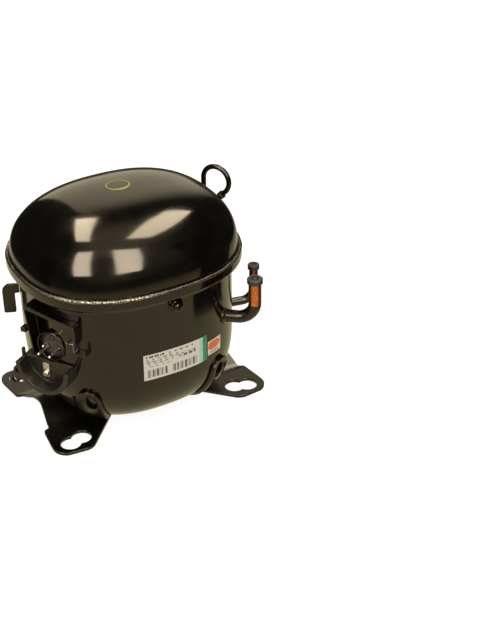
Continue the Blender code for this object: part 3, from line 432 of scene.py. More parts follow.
def sweep(path, radius, wall, sides=32):
    """Open pipe along a path, as one closed body with its bore."""
    points = [Vector(point) for point in path]
    tangents = [(b - a).normalized() for a, b in zip(points, points[1:])]
    tangents = [tangents[0]] + [(a + b).normalized() for a, b in zip(tangents, tangents[1:])] + [tangents[-1]]
    side = tangents[0].orthogonal().normalized()
    frames = []
    for point, tangent in zip(points, tangents):
        side = (side - tangent * side.dot(tangent)).normalized()
        frames.append((point, side.copy(), tangent.cross(side)))

    def rings(r):
        return [[p + (u * math.cos(a) + v * math.sin(a)) * r for a in round_angles(sides)]
                for p, u, v in frames]

    return loft(rings(radius) + rings(radius - wall)[::-1], closed=True)


def shade(mesh, finishes, sharp):
    """Smooth shading with edges kept sharp above an angle in degrees, and the finishes by name."""
    mesh.shade_smooth()
    mesh.set_sharp_from_angle(angle=math.radians(sharp))
    for finish in finishes:
        mesh.materials.append(FINISH[finish])


def show(obj, node, finish, bevel=0.0, smooth=34.0, body="housing", name=None):
    """Finish a piece: softened edges, smooth shading, its material, and its body; the node's own part is
    hidden unless a name is given.
    """
    if bevel > 0:
        rounding = obj.modifiers.new("rounding", "BEVEL")
        rounding.width = bevel
        rounding.segments = 3
        rounding.limit_method = "ANGLE"
        rounding.angle_limit = math.radians(40)
        rounding.use_clamp_overlap = False
    mesh = settle(obj)
    mesh.materials.clear()
    shade(mesh, (finish,), smooth)
    made = new_object(mesh, name or f"{node}_fine")
    if bevel > 0:
        made.modifiers.new("flats", "WEIGHTED_NORMAL").keep_sharp = True
    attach(made, body)
    if name is None:
        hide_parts(node)
    return made


# ---- can
def oval(half_a, half_b, z, count=FINE, shift=(0.0, 0.0)):
    """One ring of the can's superellipse plan."""
    ring = []
    for angle in round_angles(count):
        c, s = math.cos(angle), math.sin(angle)
        ring.append((half_a * math.copysign(abs(c) ** (2 / PLAN_POWER), c) + shift[0],
                     half_b * math.copysign(abs(s) ** (2 / PLAN_POWER), s) + shift[1], z))
    return ring


def bowl_scale(z):
    """Size of the bowl's plan at a height, as a share of the full plan."""
    depth = min(max((BOWL_CURVE - (z - BOWL_BOTTOM)) / BOWL_CURVE, 0.0), 1.0)
    return (1 - depth ** BOWL_POWER) ** (1 / BOWL_POWER) * (1 - BOWL_DRAFT * depth)


def bowl_rings(offset, top, steps, count=FINE):
    """Rings of the bowl, offset outwards, from its bottom up to a height."""
    rings = []
    for i in range(1, steps + 1):
        angle = math.pi / 2 * i / steps
        z = BOWL_BOTTOM + BOWL_CURVE * (1 - math.cos(angle) ** 0.8)
        scale, out = bowl_scale(z), offset * math.sin(angle) ** 0.5
        rings.append(oval(WALL_A * scale + out, WALL_B * scale + out, z - offset * math.cos(angle), count))
    rings.append(oval(WALL_A + offset, WALL_B + offset, top, count))
    return rings


def bowl_solid(offset, top):
    """The bowl filled up to a height, to cut fittings back to the wall."""
    return loft(bowl_rings(offset, top, 30, 96))


def curve3(start, control, end, steps):
    """Points of a quadratic curve, without its first point."""
    ts = [i / steps for i in range(1, steps + 1)]
    return [tuple(a * (1 - t) ** 2 + c * 2 * t * (1 - t) + b * t ** 2 for a, c, b in zip(start, control, end))
            for t in ts]


def bottom_shell():
    outer = bowl_rings(0.0, FLARE_FOOT, 34)
    edge, full = (RIM_STEP - 0.0016, FLARE_EDGE), (RIM_STEP, RIM_BAND)
    profile = curve3((0.0, FLARE_FOOT), (0.0, FLARE_EDGE - 0.0025), edge, 8)
    profile += curve3(edge, (RIM_STEP, FLARE_EDGE + 0.0003), full, 4)
    profile += curve3((RIM_STEP, RIM_TOP - 0.0010), (RIM_STEP, RIM_TOP), (RIM_STEP - 0.0010, RIM_TOP), 3)
    for out, z in profile:
        outer.append(oval(WALL_A + out, WALL_B + out, z))
    inset = 0.0031
    inner = bowl_rings(-SHELL_WALL, FLARE_FOOT + 0.0055, 14)
    inner.append(oval(RIM_A - inset, RIM_B - inset, SKIRT_BOTTOM - GAP))
    inner.append(oval(RIM_A - inset, RIM_B - inset, RIM_TOP))
    shell = loft(outer + inner[::-1])
    holes = [term_cylinder(TERM_R + GAP, 0.070, 0.110, (TERM_T, TERM_Z), 40)]
    for tube, radius in ((SUCTION, SUCTION_R), (DISCHARGE, DISCHARGE_R)):
        hole = cylinder(radius + GAP, -0.012, 0.012, sides=32)
        holes.append(moved(hole, toward(level(tube["angle"]), tube["entry"])))
    process = Vector((*PROCESS_LEG, 0.0)).normalized()
    holes.append(moved(cylinder(PROCESS_R + GAP, 0.070, 0.100, sides=24),
                       toward(process, (0, 0, PROCESS_HOLE_Z))))
    show(cut(shell, *holes), "bottom_shell", "enamel", smooth=38)


def dome_rings(inset, top, steps):
    """Rings of the dome from the rim up, leaning more towards the top; the pole is left out."""
    half_a, half_b = RIM_A - SKIRT_INSET - inset, RIM_B - SKIRT_INSET - inset
    rings = []
    for i in range(steps):
        angle = math.pi / 2 * i / steps
        scale, rise = math.cos(angle) ** (2 / DOME_POWER), math.sin(angle) ** (2 / DOME_POWER)
        shift = [lean * rise ** 2 for lean in DOME_LEAN]
        rings.append(oval(half_a * scale, half_b * scale, RIM_TOP + (top - RIM_TOP) * rise, FINE, shift))
    return rings


def dome_height(x, y):
    """Height of the dome's outer surface above a point."""
    a, b = RIM_A - SKIRT_INSET, RIM_B - SKIRT_INSET
    rise = 1.0
    for _ in range(12):
        u, v = (x - DOME_LEAN[0] * rise ** 2) / a, (y - DOME_LEAN[1] * rise ** 2) / b
        scale = (abs(u) ** PLAN_POWER + abs(v) ** PLAN_POWER) ** (1 / PLAN_POWER)
        rise = (1 - min(scale, 1.0) ** DOME_POWER) ** (1 / DOME_POWER)
    return RIM_TOP + (DOME_TOP - RIM_TOP) * rise


def top_shell():
    skirt_a, skirt_b = RIM_A - SKIRT_INSET, RIM_B - SKIRT_INSET
    outer = [oval(skirt_a, skirt_b, SKIRT_BOTTOM)] + dome_rings(0.0, DOME_TOP, 56)
    inner = [oval(skirt_a - SHELL_WALL, skirt_b - SHELL_WALL, SKIRT_BOTTOM)]
    inner += dome_rings(SHELL_WALL, DOME_TOP - SHELL_WALL, 20)
    lid = loft(inner[::-1] + outer, pole=(*DOME_LEAN, DOME_TOP))
    show(lid, "top_shell", "enamel", smooth=50)


def seam_weld():
    """Bead of overlapping ripples round the seam, uneven in width and height."""
    count, pitch = 960, 0.0021
    section = [(math.cos(a), math.sin(a)) for a in round_angles(16)]
    rings, run = [], 0.0
    base = oval(RIM_A - 0.0018, RIM_B - 0.0018, RIM_TOP + 0.0004, count)
    for i, (x, y, z) in enumerate(base):
        ahead = Vector(base[(i + 1) % count]) - Vector((x, y, z))
        run += ahead.length
        out = Vector((ahead.y, -ahead.x, 0.0)).normalized()
        swell = noise.noise(Vector((x, y, 0.0)) * 90.0)
        ripple = abs(math.sin(math.pi * (run / pitch + 0.7 * swell)))
        wide, high = 0.0019 + 0.0003 * swell + 0.0002 * ripple, 0.0015 + 0.0006 * swell + 0.0004 * ripple
        rings.append([Vector((x, y, z)) + out * (c * wide) + Vector((0, 0, max(s, -0.2) * high))
                      for c, s in section])
    show(loft(rings, closed=True), "seam_weld", "weld", smooth=60)


# ---- base brackets
def bracket_outline():
    front = [(0.0945, 0.0), (0.0985, -0.026), (0.0985, -0.031), (0.1045, -0.0325), (0.1072, -0.056)]
    front += arc((0.0935, -0.0615), 0.0140, 0, -70, 20)
    front += arc((0.0815, -0.0620), 0.0145, -95, -135, 12)
    front += [(0.0380, -0.0360), (0.0460, -0.0200)]
    return front + [(x, -y) for x, y in front[:0:-1]]


def bracket_profile():
    """Side view of the strip, with rounded bends: lower line, then the upper one back."""
    half = [(-0.09, 0.0), (-PAD_BEND, 0.0), (-SADDLE_HALF, SADDLE_RISE)]
    line = half + [(-y, z) for y, z in half[::-1]]
    lower = rounded(line, BEND_R, 8, closed=False)
    upper = rounded([(y, z + SHEET) for y, z in line], BEND_R, 8, closed=False)
    return lower + upper[::-1]


def bracket_ear(angle):
    """Ear that follows the bowl, and the cutter for its oval window."""
    upright = Matrix.Rotation(angle, 4, "Z") @ ON_EDGE
    side = math.copysign(1.0, -angle)
    radius, middle = (EAR_WIDE + EAR_NARROW) / 2, (EAR_WIDE - EAR_NARROW) / 2
    face = [(0.0, 0.0), (EAR_WIDE, 0.0)] + arc((middle, EAR_TOP - radius), radius, 0, 180, 32)
    face = [(side * x, z) for x, z in face + [(-EAR_NARROW, EAR_SLANT)]]
    ear = combine(bowl_solid(SHEET + GAP, 0.08), moved(plate(face, EAR_INNER, 0.12), upright), "INTERSECT")
    oval_hole = [(WINDOW_RATIO * x, y) for x, y in arc((0.0, WINDOW_Z), WINDOW_R, 0, 360, 40)[:-1]]
    return ear, moved(plate(oval_hole, EAR_INNER, 0.12), upright)


def bracket(node, turn):
    body = moved(plate(bracket_profile(), 0.03, 0.11), ON_EDGE)
    body = combine(body, plate(rounded(bracket_outline(), 0.004, 4), -0.01, 0.03), "INTERSECT")
    body = cut(body, bowl_solid(GAP, 0.08))
    for angle in EAR_ANGLES:
        ear, window = bracket_ear(angle)
        body = join(body, cut(ear, bowl_solid(GAP, 0.08), window))
    for sign in (1, -1):
        for x, y in (SLOT_OUTER, SLOT_INNER):
            body = cut(body, cylinder(SLOT_R, -0.01, 0.02, (x, y * sign), 56))
    show(moved(body, Matrix.Rotation(turn, 4, "Z")), node, "bracket_enamel", bevel=0.0005)


# ---- terminal side
def term_matrix(t=0.0, z=0.0):
    """Frame on the terminal plane: +Z out along its normal, +X along the plane, +Y up."""
    normal = level(TERM_ANGLE)
    along = Vector((-normal.y, normal.x, 0.0))
    place = along * t + Vector((0.0, 0.0, z))
    return Matrix(((along.x, 0.0, normal.x, place.x), (along.y, 0.0, normal.y, place.y),
                   (along.z, 1.0, normal.z, place.z), (0.0, 0.0, 0.0, 1.0)))


def term_plate(outline, out0, out1):
    return moved(plate(outline, out0, out1), term_matrix())


def term_box(low, high):
    return moved(box(low, high), term_matrix())


def term_round(profile, t, z, ring=False, sides=48):
    return moved(turned(profile, sides, ring), term_matrix(t, z))


def term_cylinder(radius, out0, out1, at, sides):
    return moved(cylinder(radius, out0, out1, sides=sides), term_matrix(*at))


def pin_places():
    turns = [math.radians(angle) for angle in (90, 210, 330)]
    return [(TERM_T + PIN_CIRCLE * math.cos(a), TERM_Z + PIN_CIRCLE * math.sin(a)) for a in turns]


def terminal_fence():
    right, left = 0.0115, -0.0440
    outer = [(-0.0372, 0.0800), (-0.0443, 0.1272), (right, 0.1218), (right, 0.1040)]
    inner = [(-0.0354, 0.0800), (-0.0422, 0.1236), (0.0097, 0.1184), (0.0097, 0.1040)]
    outer, inner = rounded(outer, 0.0035, 6, False), rounded(inner, 0.0020, 6, False)
    body = term_plate(outer + inner[::-1], 0.0800, FENCE_FACE)
    slope = Matrix.Rotation(-math.atan2(FENCE_SETBACK, right - left), 4, "Y")
    edge = term_matrix() @ Matrix.Translation((right, 0, FENCE_FACE)) @ slope
    body = cut(body, moved(box((-0.08, 0.05, 0.0), (0.03, 0.15, 0.03)), edge))
    body = join(body, term_box((-0.0455, 0.1030, 0.0960), (-0.0405, 0.1075, 0.1030)))
    show(cut(body, bowl_solid(GAP, 0.14)), "terminal_fence", "fitting_enamel", bevel=0.0004)


def terminal():
    """Cup with a rolled lip, dusty sealed disc with a glass bead round each pin, and the pins."""
    wall = 0.0012
    lip_out, cup_foot = TERM_FACE - 0.0006, 0.0845
    lip = arc((TERM_R - wall / 2, lip_out), wall / 2, 180, 0, 6)
    profile = [(TERM_R - wall, lip_out)] + lip + [(TERM_R, cup_foot), (TERM_R - wall, cup_foot)]
    cup = term_round(profile, TERM_T, TERM_Z, ring=True, sides=64)
    show(cup, "terminal_cup", "fitting_enamel", smooth=40)
    seal_r, seal_back = TERM_R - wall - GAP, 0.0875
    disc = [(0.0, 0.0935), (0.0095, 0.0935), (0.0108, 0.0926), (seal_r, 0.0921), (seal_r, seal_back),
            (0.0, seal_back)]
    seal = term_round(disc, TERM_T, TERM_Z, sides=64)
    for place in pin_places():
        seal = cut(seal, term_cylinder(PIN_R + 0.0013, 0.080, 0.100, place, 32))
    show(seal, "terminal_seal", "seal")
    bore, swell = PIN_R + 0.00015, PIN_R + 0.0011
    bead = [(bore, 0.0950), (PIN_R + 0.0007, 0.0946), (swell, 0.0936), (swell, 0.0880), (bore, 0.0880)]
    pin = [(0.0, 0.0800), (PIN_R, 0.0800), (PIN_R, 0.1078), (PIN_R * 0.93, 0.1084), (PIN_R * 0.7, 0.1089),
           (PIN_R * 0.35, 0.1091), (0.0, 0.1092)]
    for number, (t, z) in enumerate(pin_places(), 1):
        glass = term_round(bead, t, z, ring=True, sides=32)
        show(glass, "", "bead", name=f"pin_bead_{number}")
        show(term_round(pin, t, z, sides=28), f"terminal_pin_{number}", "pin", smooth=45)


def terminal_cradle():
    centre, outer, inner = (-0.0210, 0.0770), 0.0270, 0.0225
    body = term_plate(arc(centre, outer, 180, 360, 56) + arc(centre, inner, 360, 180, 48), 0.0880, 0.1120)
    body = join(body, term_plate(arc(centre, outer - 0.001, 180, 360, 48), 0.0880, 0.0985))
    body = join(body, term_box((-0.0470, 0.0740, 0.1000), (-0.0445, 0.0860, 0.1030)))
    for t, z in CRADLE_EYES:
        body = join(body, term_plate(arc((t, z), 0.0046, 0, 360, 36)[:-1], 0.1000, 0.1040))
    body = join(body, term_box((-0.0560, 0.0520, 0.0995), (-0.0350, 0.0590, 0.1045)))
    for t, z in CRADLE_EYES:
        body = cut(body, term_plate(arc((t, z), 0.0024, 0, 360, 28)[:-1], 0.0900, 0.1100))
    seat = term_cylinder(EARTH_BORE, 0.090, 0.120, EARTH_AT, 24)
    room = term_cylinder(TERM_R + 0.0010, 0.080, 0.120, (TERM_T, TERM_Z), 56)
    body = cut(body, bowl_solid(GAP, 0.13), seat, room)
    show(body, "terminal_cradle", "plastic", bevel=0.0005)


def earth_parts():
    t, z = EARTH_AT
    head = [(0.0, 0.0965), (0.0014, 0.0965), (0.0014, 0.0998), (0.0030, 0.0998), (0.0030, 0.1012),
            (0.0026, 0.1020), (0.0016, 0.1025), (0.0, 0.1026)]
    screw = term_round(head, t, z, sides=32)
    slot = term_box((t - 0.0040, z - 0.00035, 0.1016), (t + 0.0040, z + 0.00035, 0.1040))
    show(cut(screw, slot), "earth_screw", "zinc", smooth=40)
    half, foot, tip = 0.0032, z - 0.0040, z + 0.0100
    tab = rounded([(t - half, foot), (t + half, foot), (t + half, tip), (t - half, tip)], 0.0014)
    body = cut(term_plate(tab, 0.0988, 0.0995), term_cylinder(EARTH_BORE, 0.095, 0.105, EARTH_AT, 24))
    show(body, "earth_tab", "zinc", bevel=0.00015)


def cover_clip():
    """Bright spring clip with a black hook."""
    arm = rounded([(0.0000, 0.0925), (0.0190, 0.0925), (0.0190, 0.0990), (0.0168, 0.0990), (0.0168, 0.0950),
                   (0.0075, 0.0950), (0.0075, 0.1030), (0.0000, 0.1030)], 0.0009, 4)
    clip = cut(term_plate(arm, 0.0940, 0.1020), bowl_solid(GAP, 0.13))
    made = show(clip, "cover_clip", "steel", bevel=0.0003)
    made.data.materials.append(FINISH["fitting_enamel"])
    along = term_matrix().col[0].to_3d()
    for face in made.data.polygons:
        face.material_index = int(face.center.dot(along) > CLIP_HOOK)


def cover_lug():
    """Hook-shaped fin under the rim, standing straight out from the wall."""
    fin = rounded([(0.0890, 0.1165), (0.1070, 0.1165), (0.1118, 0.1120), (0.1118, 0.0880), (0.1008, 0.0880),
                   (0.1008, 0.1080), (0.0890, 0.1080)], 0.0020, 5)
    upright = Matrix.Rotation(LUG_ANGLE, 4, "Z") @ Matrix.Rotation(math.pi / 2, 4, "X")
    body = moved(plate(fin, -0.0020, 0.0020), upright)
    show(cut(body, bowl_solid(GAP, 0.13)), "cover_lug", "fitting_enamel", bevel=0.0005)


# ---- tubes and caps
def elbow(entry, angle, reach, bend, top, tail):
    """Pipe's centre line: level out of the wall, round a bend and straight up."""
    out, start, steps = level(angle), Vector(entry), 20
    points = [start - out * tail]
    for i in range(steps + 1):
        turn = math.pi / 2 * i / steps
        rise = Vector((0, 0, bend * (1 - math.cos(turn))))
        points.append(start + out * (reach - bend + bend * math.sin(turn)) + rise)
    points.append(Vector((points[-1].x, points[-1].y, top)))
    return points


def cap(node, radius, tip, direction, body, finish="rubber"):
    """Moulded cap with rounded edges, a ring recess and a small boss in the middle of its crown."""
    outer, mouth, crown, edge = radius + PLUG_WALL, -PLUG_SKIRT, PLUG_CROWN, 0.0008
    profile = [(radius + GAP, GAP), (radius + GAP, mouth)]
    profile += [(outer - 0.0003, mouth), (outer, mouth + 0.0003), (outer, crown - edge)]
    profile += arc((outer - edge, crown - edge), edge, 0, 90, 5)
    ring_out, ring_in, deep = radius * 0.62, radius * 0.36, crown - 0.0013
    profile += [(ring_out, crown), (ring_out - 0.0002, deep), (ring_in, deep)]
    profile += [(ring_in - 0.0002, crown - 0.0004), (ring_in * 0.4, crown - 0.0001), (0.0, crown - 0.0001)]
    solid = turned([(0.0, GAP)] + profile, 56)
    show(moved(solid, toward(direction, tip)), node, finish, smooth=40, body=body)


def wall_crossing(entry, direction):
    """Point where a level line from inside the can meets the outer wall."""
    point, step = Vector(entry), Vector(direction) * 0.0002
    while abs(point.x / WALL_A) ** PLAN_POWER + abs(point.y / WALL_B) ** PLAN_POWER < 1.0:
        point += step
    return point


def braze(name, entry, direction, radius):
    """Fillet of filler metal where a tube comes through the wall."""
    inner, bulge, sunk = radius + 0.00015, 0.0013, 0.0018
    profile = [(inner, bulge * 1.15), (inner + 0.0003, bulge * 1.05), (inner + 0.0008, bulge * 0.72),
               (inner + 0.0014, bulge * 0.30), (inner + 0.0021, 0.0), (inner + 0.0021, -sunk), (inner, -sunk)]
    centre = wall_crossing(entry, direction) - direction * 0.0004
    collar = moved(turned(profile, 56, ring=True), toward(direction, centre))
    show(collar, "", "braze", smooth=50, name=name)


def service_tubes():
    for name, tube, radius in (("suction", SUCTION, SUCTION_R), ("discharge", DISCHARGE, DISCHARGE_R)):
        path = elbow(**tube, tail=TUBE_INSIDE)
        show(sweep(path, radius, STUB_WALL, 48), f"{name}_tube", f"{name}_copper", smooth=40)
        cap(f"{name}_plug", radius, path[-1], (0, 0, 1), f"{name}_cap")
        out = level(tube["angle"])
        braze(f"{name}_braze", Vector(tube["entry"]) - out * TUBE_INSIDE, out, radius)


def process_tube():
    """Thin tube: out of the wall, up past the rim, over in a loop and a short way down."""
    leg = Vector((*PROCESS_LEG, 0.0))
    out = leg.normalized()
    start = out * PROCESS_START + Vector((0, 0, PROCESS_HOLE_Z))
    reach = leg.length - PROCESS_START
    points = elbow(start, math.atan2(out.y, out.x), reach, 0.008, PROCESS_LOOP_Z, 0.0)
    across = level(PROCESS_LOOP_DIR)
    centre = leg + across * PROCESS_LOOP_R + Vector((0, 0, PROCESS_LOOP_Z))
    for i in range(1, 49):
        turn = math.radians(180 - PROCESS_SWEEP * i / 48)
        points.append(centre + (across * math.cos(turn) + Vector((0, 0, math.sin(turn)))) * PROCESS_LOOP_R)
    # the tail goes on along the frame's last chord
    turn = math.radians(180 - PROCESS_SWEEP * (PROCESS_CHORDS - 0.5) / PROCESS_CHORDS)
    heading = (across * math.sin(turn) + Vector((0, 0, -math.cos(turn)))).normalized()
    points.append(points[-1] + heading * PROCESS_TAIL)
    show(sweep(points, PROCESS_R, PROCESS_WALL), "process_tube", "fitting_enamel", smooth=40)
    cap("process_plug", PROCESS_R, points[-1], heading, "process_cap", "plastic")
    braze("process_braze", start, out, PROCESS_R)


def accessory_mount():
    """Boss with a cross-slotted screw, level out of the label side."""
    at = toward((0.0, -1.0, 0.0), BOSS_AT)
    boss = [(0.0022, 0.0004), (0.0022, 0.0035), (0.0053, 0.0035), (0.0058, 0.0030), (0.0061, 0.0012),
            (0.0070, 0.0004)]
    show(moved(turned(boss, 56, ring=True), at), "accessory_boss", "enamel", smooth=50)
    screw = [(0.0, 0.0006), (0.0018, 0.0006), (0.0018, 0.0038), (0.0040, 0.0038), (0.0040, 0.0054),
             (0.0034, 0.0063), (0.0020, 0.0068), (0.0, 0.0069)]
    head = moved(turned(screw, 40), at)
    for half_x, half_y in ((0.0005, 0.0026), (0.0026, 0.0005)):
        slot = box((-half_x, -half_y, 0.0052), (half_x, half_y, 0.0080))
        head = cut(head, moved(slot, at))
    show(head, "accessory_screw", "fitting_enamel", smooth=40)


# ---- label, sticker and mark
def wall_point(x, z, out):
    """Point of the label side's wall, lifted off it."""
    scale = bowl_scale(z)
    a, b = WALL_A * scale, WALL_B * scale
    y = -b * (1 - abs(x / a) ** PLAN_POWER) ** (1 / PLAN_POWER)
    power = PLAN_POWER - 1
    slope = Vector((math.copysign(abs(x / a) ** power, x) / a, -abs(y / b) ** power / b, 0.0))
    return Vector((x, y, z)) + slope.normalized() * out


def printed_sheet(name, x_range, z_range, cells, paint, finishes):
    """Thin curved sheet on the wall, each cell of its grid given a finish by a rule of (across, up)."""
    columns, rows = cells
    work = bmesh.new()
    for side, out in enumerate((SHEET_BACK, SHEET_FACE)):
        grid = []
        for j in range(rows + 1):
            z = z_range[0] + (z_range[1] - z_range[0]) * j / rows
            xs = [x_range[0] + (x_range[1] - x_range[0]) * i / columns for i in range(columns + 1)]
            grid.append([work.verts.new(wall_point(x, z, out)) for x in xs])
        for j in range(rows):
            for i in range(columns):
                corners = (grid[j][i], grid[j][i + 1], grid[j + 1][i + 1], grid[j + 1][i])
                face = work.faces.new(corners if side else corners[::-1])
                face.material_index = paint((i + 0.5) / columns, (j + 0.5) / rows) if side else 0
        right, left = [row[-1] for row in grid[1:]], [row[0] for row in grid[-2:0:-1]]
        rim = grid[0] + right + grid[-1][-2::-1] + left
        if side:
            for k in range(len(rim)):
                nxt = (k + 1) % len(rim)
                work.faces.new((under[k], under[nxt], rim[nxt], rim[k]))
        under = rim
    made = built(work, name)
    shade(made.data, finishes, 40)
    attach(made, "housing")


def dashes(u, row, share):
    """Word-like run of marks: true where this row of print is inked."""
    beat = math.sin(u * 61.0 + row * 5.3) + 0.8 * math.sin(u * 137.0 + row * 2.1)
    return beat > 1.6 * (0.5 - share)


def label_rule(u, v):
    """Rows of marks above, blocks of bars below, a light and a full green band at the right edge."""
    mint, green = [(x - LABEL_X[0]) / (LABEL_X[1] - LABEL_X[0]) for x in (LABEL_MINT, LABEL_GREEN)]
    if u > mint:
        return 2 if u > green else 3
    page = u / mint
    if not 0.03 < page < 0.97:
        return 0
    for row, (low, high, start, end, share) in enumerate((
            (0.86, 0.94, 0.04, 0.36, 0.85), (0.87, 0.92, 0.42, 0.93, 0.50), (0.77, 0.81, 0.04, 0.60, 0.45),
            (0.69, 0.73, 0.04, 0.93, 0.50), (0.61, 0.65, 0.04, 0.52, 0.45), (0.58, 0.68, 0.62, 0.93, 0.70),
            (0.51, 0.54, 0.04, 0.50, 0.40))):
        if low < v < high and start < page < end:
            return int(dashes(page, row, share))
    if 0.10 < v < 0.39 and (0.05 < page < 0.42 or 0.49 < page < 0.94):
        return int(math.sin(page * 210.0) + math.sin(page * 87.0) > -0.1)
    return 0


def sticker_rule(u, v):
    """Cream with a large uneven orange spot in its upper part."""
    edge = 0.12 * math.sin(9.0 * u) + 0.08 * math.sin(17.0 * v + 4.0 * u)
    if (u - 0.47) ** 2 / 0.200 + (v - 0.63) ** 2 / 0.105 < 1.0 + edge:
        return 1
    return int(0.06 < v < 0.26 and int(v * 22) % 2 == 0 and 0.15 < u < 0.80) * 2


def labels():
    printed_sheet("rating_label", LABEL_X, LABEL_Z, (176, 74), label_rule, ("paper", "ink", "green", "mint"))
    printed_sheet("small_sticker", STICKER_X, STICKER_Z, (44, 66), sticker_rule, ("paper", "orange", "ink"))


def dome_mark():
    """Plain painted ring on the dome, wider at the front."""
    rings = []
    for lift, inner in ((0.00005, True), (0.00005, False), (0.00022, False), (0.00022, True)):
        ring = []
        for a in round_angles(96):
            width = 0.0009 + 0.0022 * max(0.0, -math.sin(a)) ** 2
            r = MARK_R - width if inner else MARK_R
            x, y = MARK_AT[0] + r * math.cos(a), MARK_AT[1] + r * math.sin(a)
            ring.append((x, y, dome_height(x, y) + lift))
        rings.append(ring)
    made = loft(rings, closed=True, name="dome_mark")
    shade(made.data, ("mark",), 40)
    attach(made, "housing")


# ---- carried-over nodes
INSIDE = {
    "steel": ("valve_plate", "discharge_muffler", "crankshaft", "oil_pickup", "ball_retainer", "rod_ball"),
    "lamination": ("stator_core",),
    "winding": ("winding_top", "winding_bottom"),
    "iron": ("cylinder_block", "piston", "connecting_rod"),
    "aluminium": ("cylinder_head", "rotor"),
    "natural": ("suction_muffler", "motor_connector"),
    "copper": ("discharge_loop",),
    "zinc": ("oil_gallery_plug",),
    "spring": ("suction_reed", "discharge_reed"),
}
NUMBERED = {"steel": ("stator_bolt", "head_bolt", "spring_stud"), "spring": ("suspension_spring",)}


def finish_inside():
    """Finishes of the nodes in the closed can, the numbered ones being four of each."""
    pairs = [(finish, node) for finish, nodes in INSIDE.items() for node in nodes]
    pairs += [(finish, f"{stem}_{number}") for finish, stems in NUMBERED.items() for stem in stems
              for number in range(1, 5)]
    for finish, node in pairs:
        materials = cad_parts[node].data.materials
        materials.clear()
        materials.append(FINISH[finish])


# ---- camera, floor and light
CAMERA_AZ, CAMERA_EL, CAMERA_ROLL = -30.1, 31.0, math.radians(-0.47)
CAMERA_TARGET, CAMERA_DISTANCE, CAMERA_LENS = Vector((0.09707, -0.04319, 0.06864)), 1.18547, 94.07


def aim(azimuth, elevation):
    """Direction with azimuth 0 towards -Y and 90 towards +X, in degrees."""
    a, e = math.radians(azimuth), math.radians(elevation)
    return Vector((math.sin(a) * math.cos(e), -math.cos(a) * math.cos(e), math.sin(e)))


def camera():
    back = aim(CAMERA_AZ, CAMERA_EL)
    right = (-back).cross(Vector((0, 0, 1))).normalized()
    up = right.cross(-back)
    right, up = (right * math.cos(CAMERA_ROLL) + up * math.sin(CAMERA_ROLL),
                 up * math.cos(CAMERA_ROLL) - right * math.sin(CAMERA_ROLL))
    data = bpy.data.cameras.new("camera")
    data.lens = CAMERA_LENS
    data.sensor_fit = "HORIZONTAL"
    data.sensor_width = 36.0
    made = new_object(data, "camera")
    place = Matrix((right, up, back)).transposed().to_4x4()
    place.translation = CAMERA_TARGET + back * CAMERA_DISTANCE
    made.matrix_world = place
    bpy.context.scene.camera = made


def emission(name, colour, strength):
    made = bpy.data.materials.new(name)
    made.use_nodes = True
    tree = made.node_tree
    tree.nodes.clear()
    glow = add_node(tree, "ShaderNodeEmission", {"Color": (*colour, 1.0), "Strength": strength})
    tree.links.new(glow, tree.nodes.new("ShaderNodeOutputMaterial").inputs["Surface"])
    return made


def card(name, points, faces, material):
    """Studio card that only mirror reflections see: a lamp panel or a dark flag."""
    mesh = bpy.data.meshes.new(name)
    mesh.from_pydata([tuple(point) for point in points], [], faces)
    mesh.materials.append(material)
    made = new_object(mesh, name)
    made.visible_camera = made.visible_shadow = made.visible_diffuse = False


def flag(name, azimuths, away, top, material):
    """Upright dark wall on an arc round the can."""
    steps = 24
    points = []
    for i in range(steps + 1):
        foot = aim(azimuths[0] + (azimuths[1] - azimuths[0]) * i / steps, 0) * away
        points += [foot, foot + Vector((0, 0, top))]
    faces = [(2 * i, 2 * i + 2, 2 * i + 3, 2 * i + 1) for i in range(steps)]
    card(name, points, faces, material)


def by_ray(tree, kind, glossy, diffuse, camera_side):
    """What mirror rays, diffuse rays and the camera each see: two plain glows and a shader."""
    shown, mirrored = (add_node(tree, kind, {"Color": (*colour, 1.0), "Strength": strength})
                       for colour, strength in (diffuse, glossy))
    for ray, shader in (("Is Glossy Ray", mirrored), ("Is Camera Ray", camera_side)):
        test = add_node(tree, "ShaderNodeLightPath", {}, ray)
        shown = add_node(tree, "ShaderNodeMixShader", {0: test, 1: shown, 2: shader})
    return shown


def floor():
    reach = 12.0
    mesh = bpy.data.meshes.new("floor")
    mesh.from_pydata([(-reach, -reach, 0), (reach, -reach, 0), (reach, reach, 0), (-reach, reach, 0)], [],
                     [(0, 1, 2, 3)])
    look = Look("floor_paper", 0.9)
    look.colour(look.mix(look.noise(6.0), (0.30, 0.30, 0.29), (0.31, 0.31, 0.30)))
    look.shader.inputs["Specular IOR Level"].default_value = 0.0
    look.shader.inputs["Emission Color"].default_value = (1.0, 1.0, 0.99, 1.0)
    look.shader.inputs["Emission Strength"].default_value = 0.90
    away = look.add("ShaderNodeVectorMath", {0: look.place}, "Value", operation="LENGTH")
    tint, near, far, start, end = FLOOR_MIRRORED
    mirrored = look.span(away, start, end, near, far)
    finished = by_ray(look.tree, "ShaderNodeEmission", (tint, mirrored), FLOOR_BOUNCE,
                      look.shader.outputs[0])
    look.tree.links.new(finished, look.tree.nodes["Material Output"].inputs["Surface"])
    mesh.materials.append(look.material)
    new_object(mesh, "floor")


# lamp panels as the directions of their four corners, in degrees, as seen from the dome
PANELS = {
    "rear_panel": ((-178, 42), (171, 49), (-136, 70), (-139, 59)),
    "right_panel": ((134, 52), (116, 45), (60, 68), (71, 83)),
    "left_window": ((-102, 58), (-79, 68), (-47, 20), (-69, 16)),
    "front_window": ((-28, 73), (19, 61), (6, 15), (-17, 18)),
}
PANEL_AT, PANEL_DISTANCE, PANEL_GLOW = Vector((0.0, 0.0, 0.19)), 2.6, 13.0
UPPER_TINT, WINDOW_TINT = (1.0, 0.85, 0.64), (1.0, 0.86, 0.72)
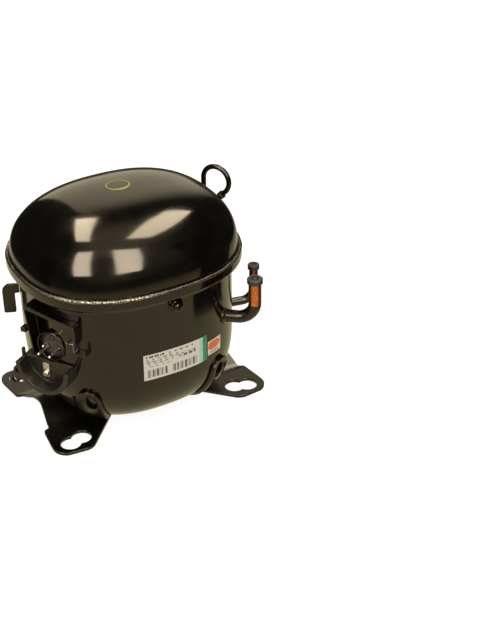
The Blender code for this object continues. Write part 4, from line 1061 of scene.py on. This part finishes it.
# the floor in mirror reflections: tint, glow near and far, distances between which it fades
FLOOR_MIRRORED = ((1.0, 0.86, 0.50), 0.80, 0.08, 0.36, 0.68)
FLOOR_BOUNCE = ((1.0, 1.0, 1.0), 0.55)
SKY_TINT, SKY_BASE, SKY_DIFFUSE = (1.0, 0.87, 0.62), 0.04, ((1.0, 0.99, 0.97), 1.0)
# soft lights in the sky: direction, angles where they are full and gone, strength
SKY_GLOWS = ((aim(0, 90), 10, 36, 0.70), (aim(164, 12), 18, 34, 1.15), (aim(-15, 35), 20, 60, 0.22))
# dark walls: azimuths covered, distance, height
FLAGS = {"left_flag": ((-180, -95), 0.50, 0.62), "right_flag": ((30, 125), 0.62, 0.72),
         "low_flag": ((35, 75), 0.24, 0.12)}


def sky():
    """Soft surround for reflections, even light for the rest, plain white to the camera."""
    world = bpy.data.worlds.new("studio")
    bpy.context.scene.world = world
    world.use_nodes = True
    tree = world.node_tree
    tree.nodes.clear()
    place = add_node(tree, "ShaderNodeTexCoord", {}, "Generated")
    total = SKY_BASE
    for direction, inner, outer, strength in SKY_GLOWS:
        facing = add_node(tree, "ShaderNodeVectorMath", {0: place, 1: direction}, "Value",
                          operation="DOT_PRODUCT")
        gone, full = math.cos(math.radians(outer)), math.cos(math.radians(inner))
        glow = map_range(tree, facing, gone, full, 0.0, strength, "SMOOTHSTEP")
        total = add_node(tree, "ShaderNodeMath", {0: glow, 1: total}, operation="ADD")
    plain = add_node(tree, "ShaderNodeBackground", {"Color": (1.0, 1.0, 1.0, 1.0)})
    finished = by_ray(tree, "ShaderNodeBackground", (SKY_TINT, total), SKY_DIFFUSE, plain)
    tree.links.new(finished, tree.nodes.new("ShaderNodeOutputWorld").inputs["Surface"])


def studio():
    floor()
    sky()
    upper = emission("upper_lamp", UPPER_TINT, PANEL_GLOW)
    window = emission("window_lamp", WINDOW_TINT, PANEL_GLOW)
    for name, corners in PANELS.items():
        points = [PANEL_AT + aim(*corner) * PANEL_DISTANCE for corner in corners]
        card(name, points, [(0, 1, 2, 3)], window if "window" in name else upper)
    dark = emission("dark_flag", (0.02, 0.018, 0.012), 1.0)
    for name, (azimuths, away, top) in FLAGS.items():
        flag(name, azimuths, away, top, dark)
    bpy.context.scene.view_settings.view_transform = "Standard"


# ---- build
camera()
bottom_shell()
top_shell()
seam_weld()
bracket("right_base_bracket", 0.0)
bracket("left_base_bracket", math.pi)
terminal_fence()
terminal()
terminal_cradle()
earth_parts()
cover_clip()
cover_lug()
service_tubes()
process_tube()
accessory_mount()
labels()
dome_mark()
finish_inside()
studio()
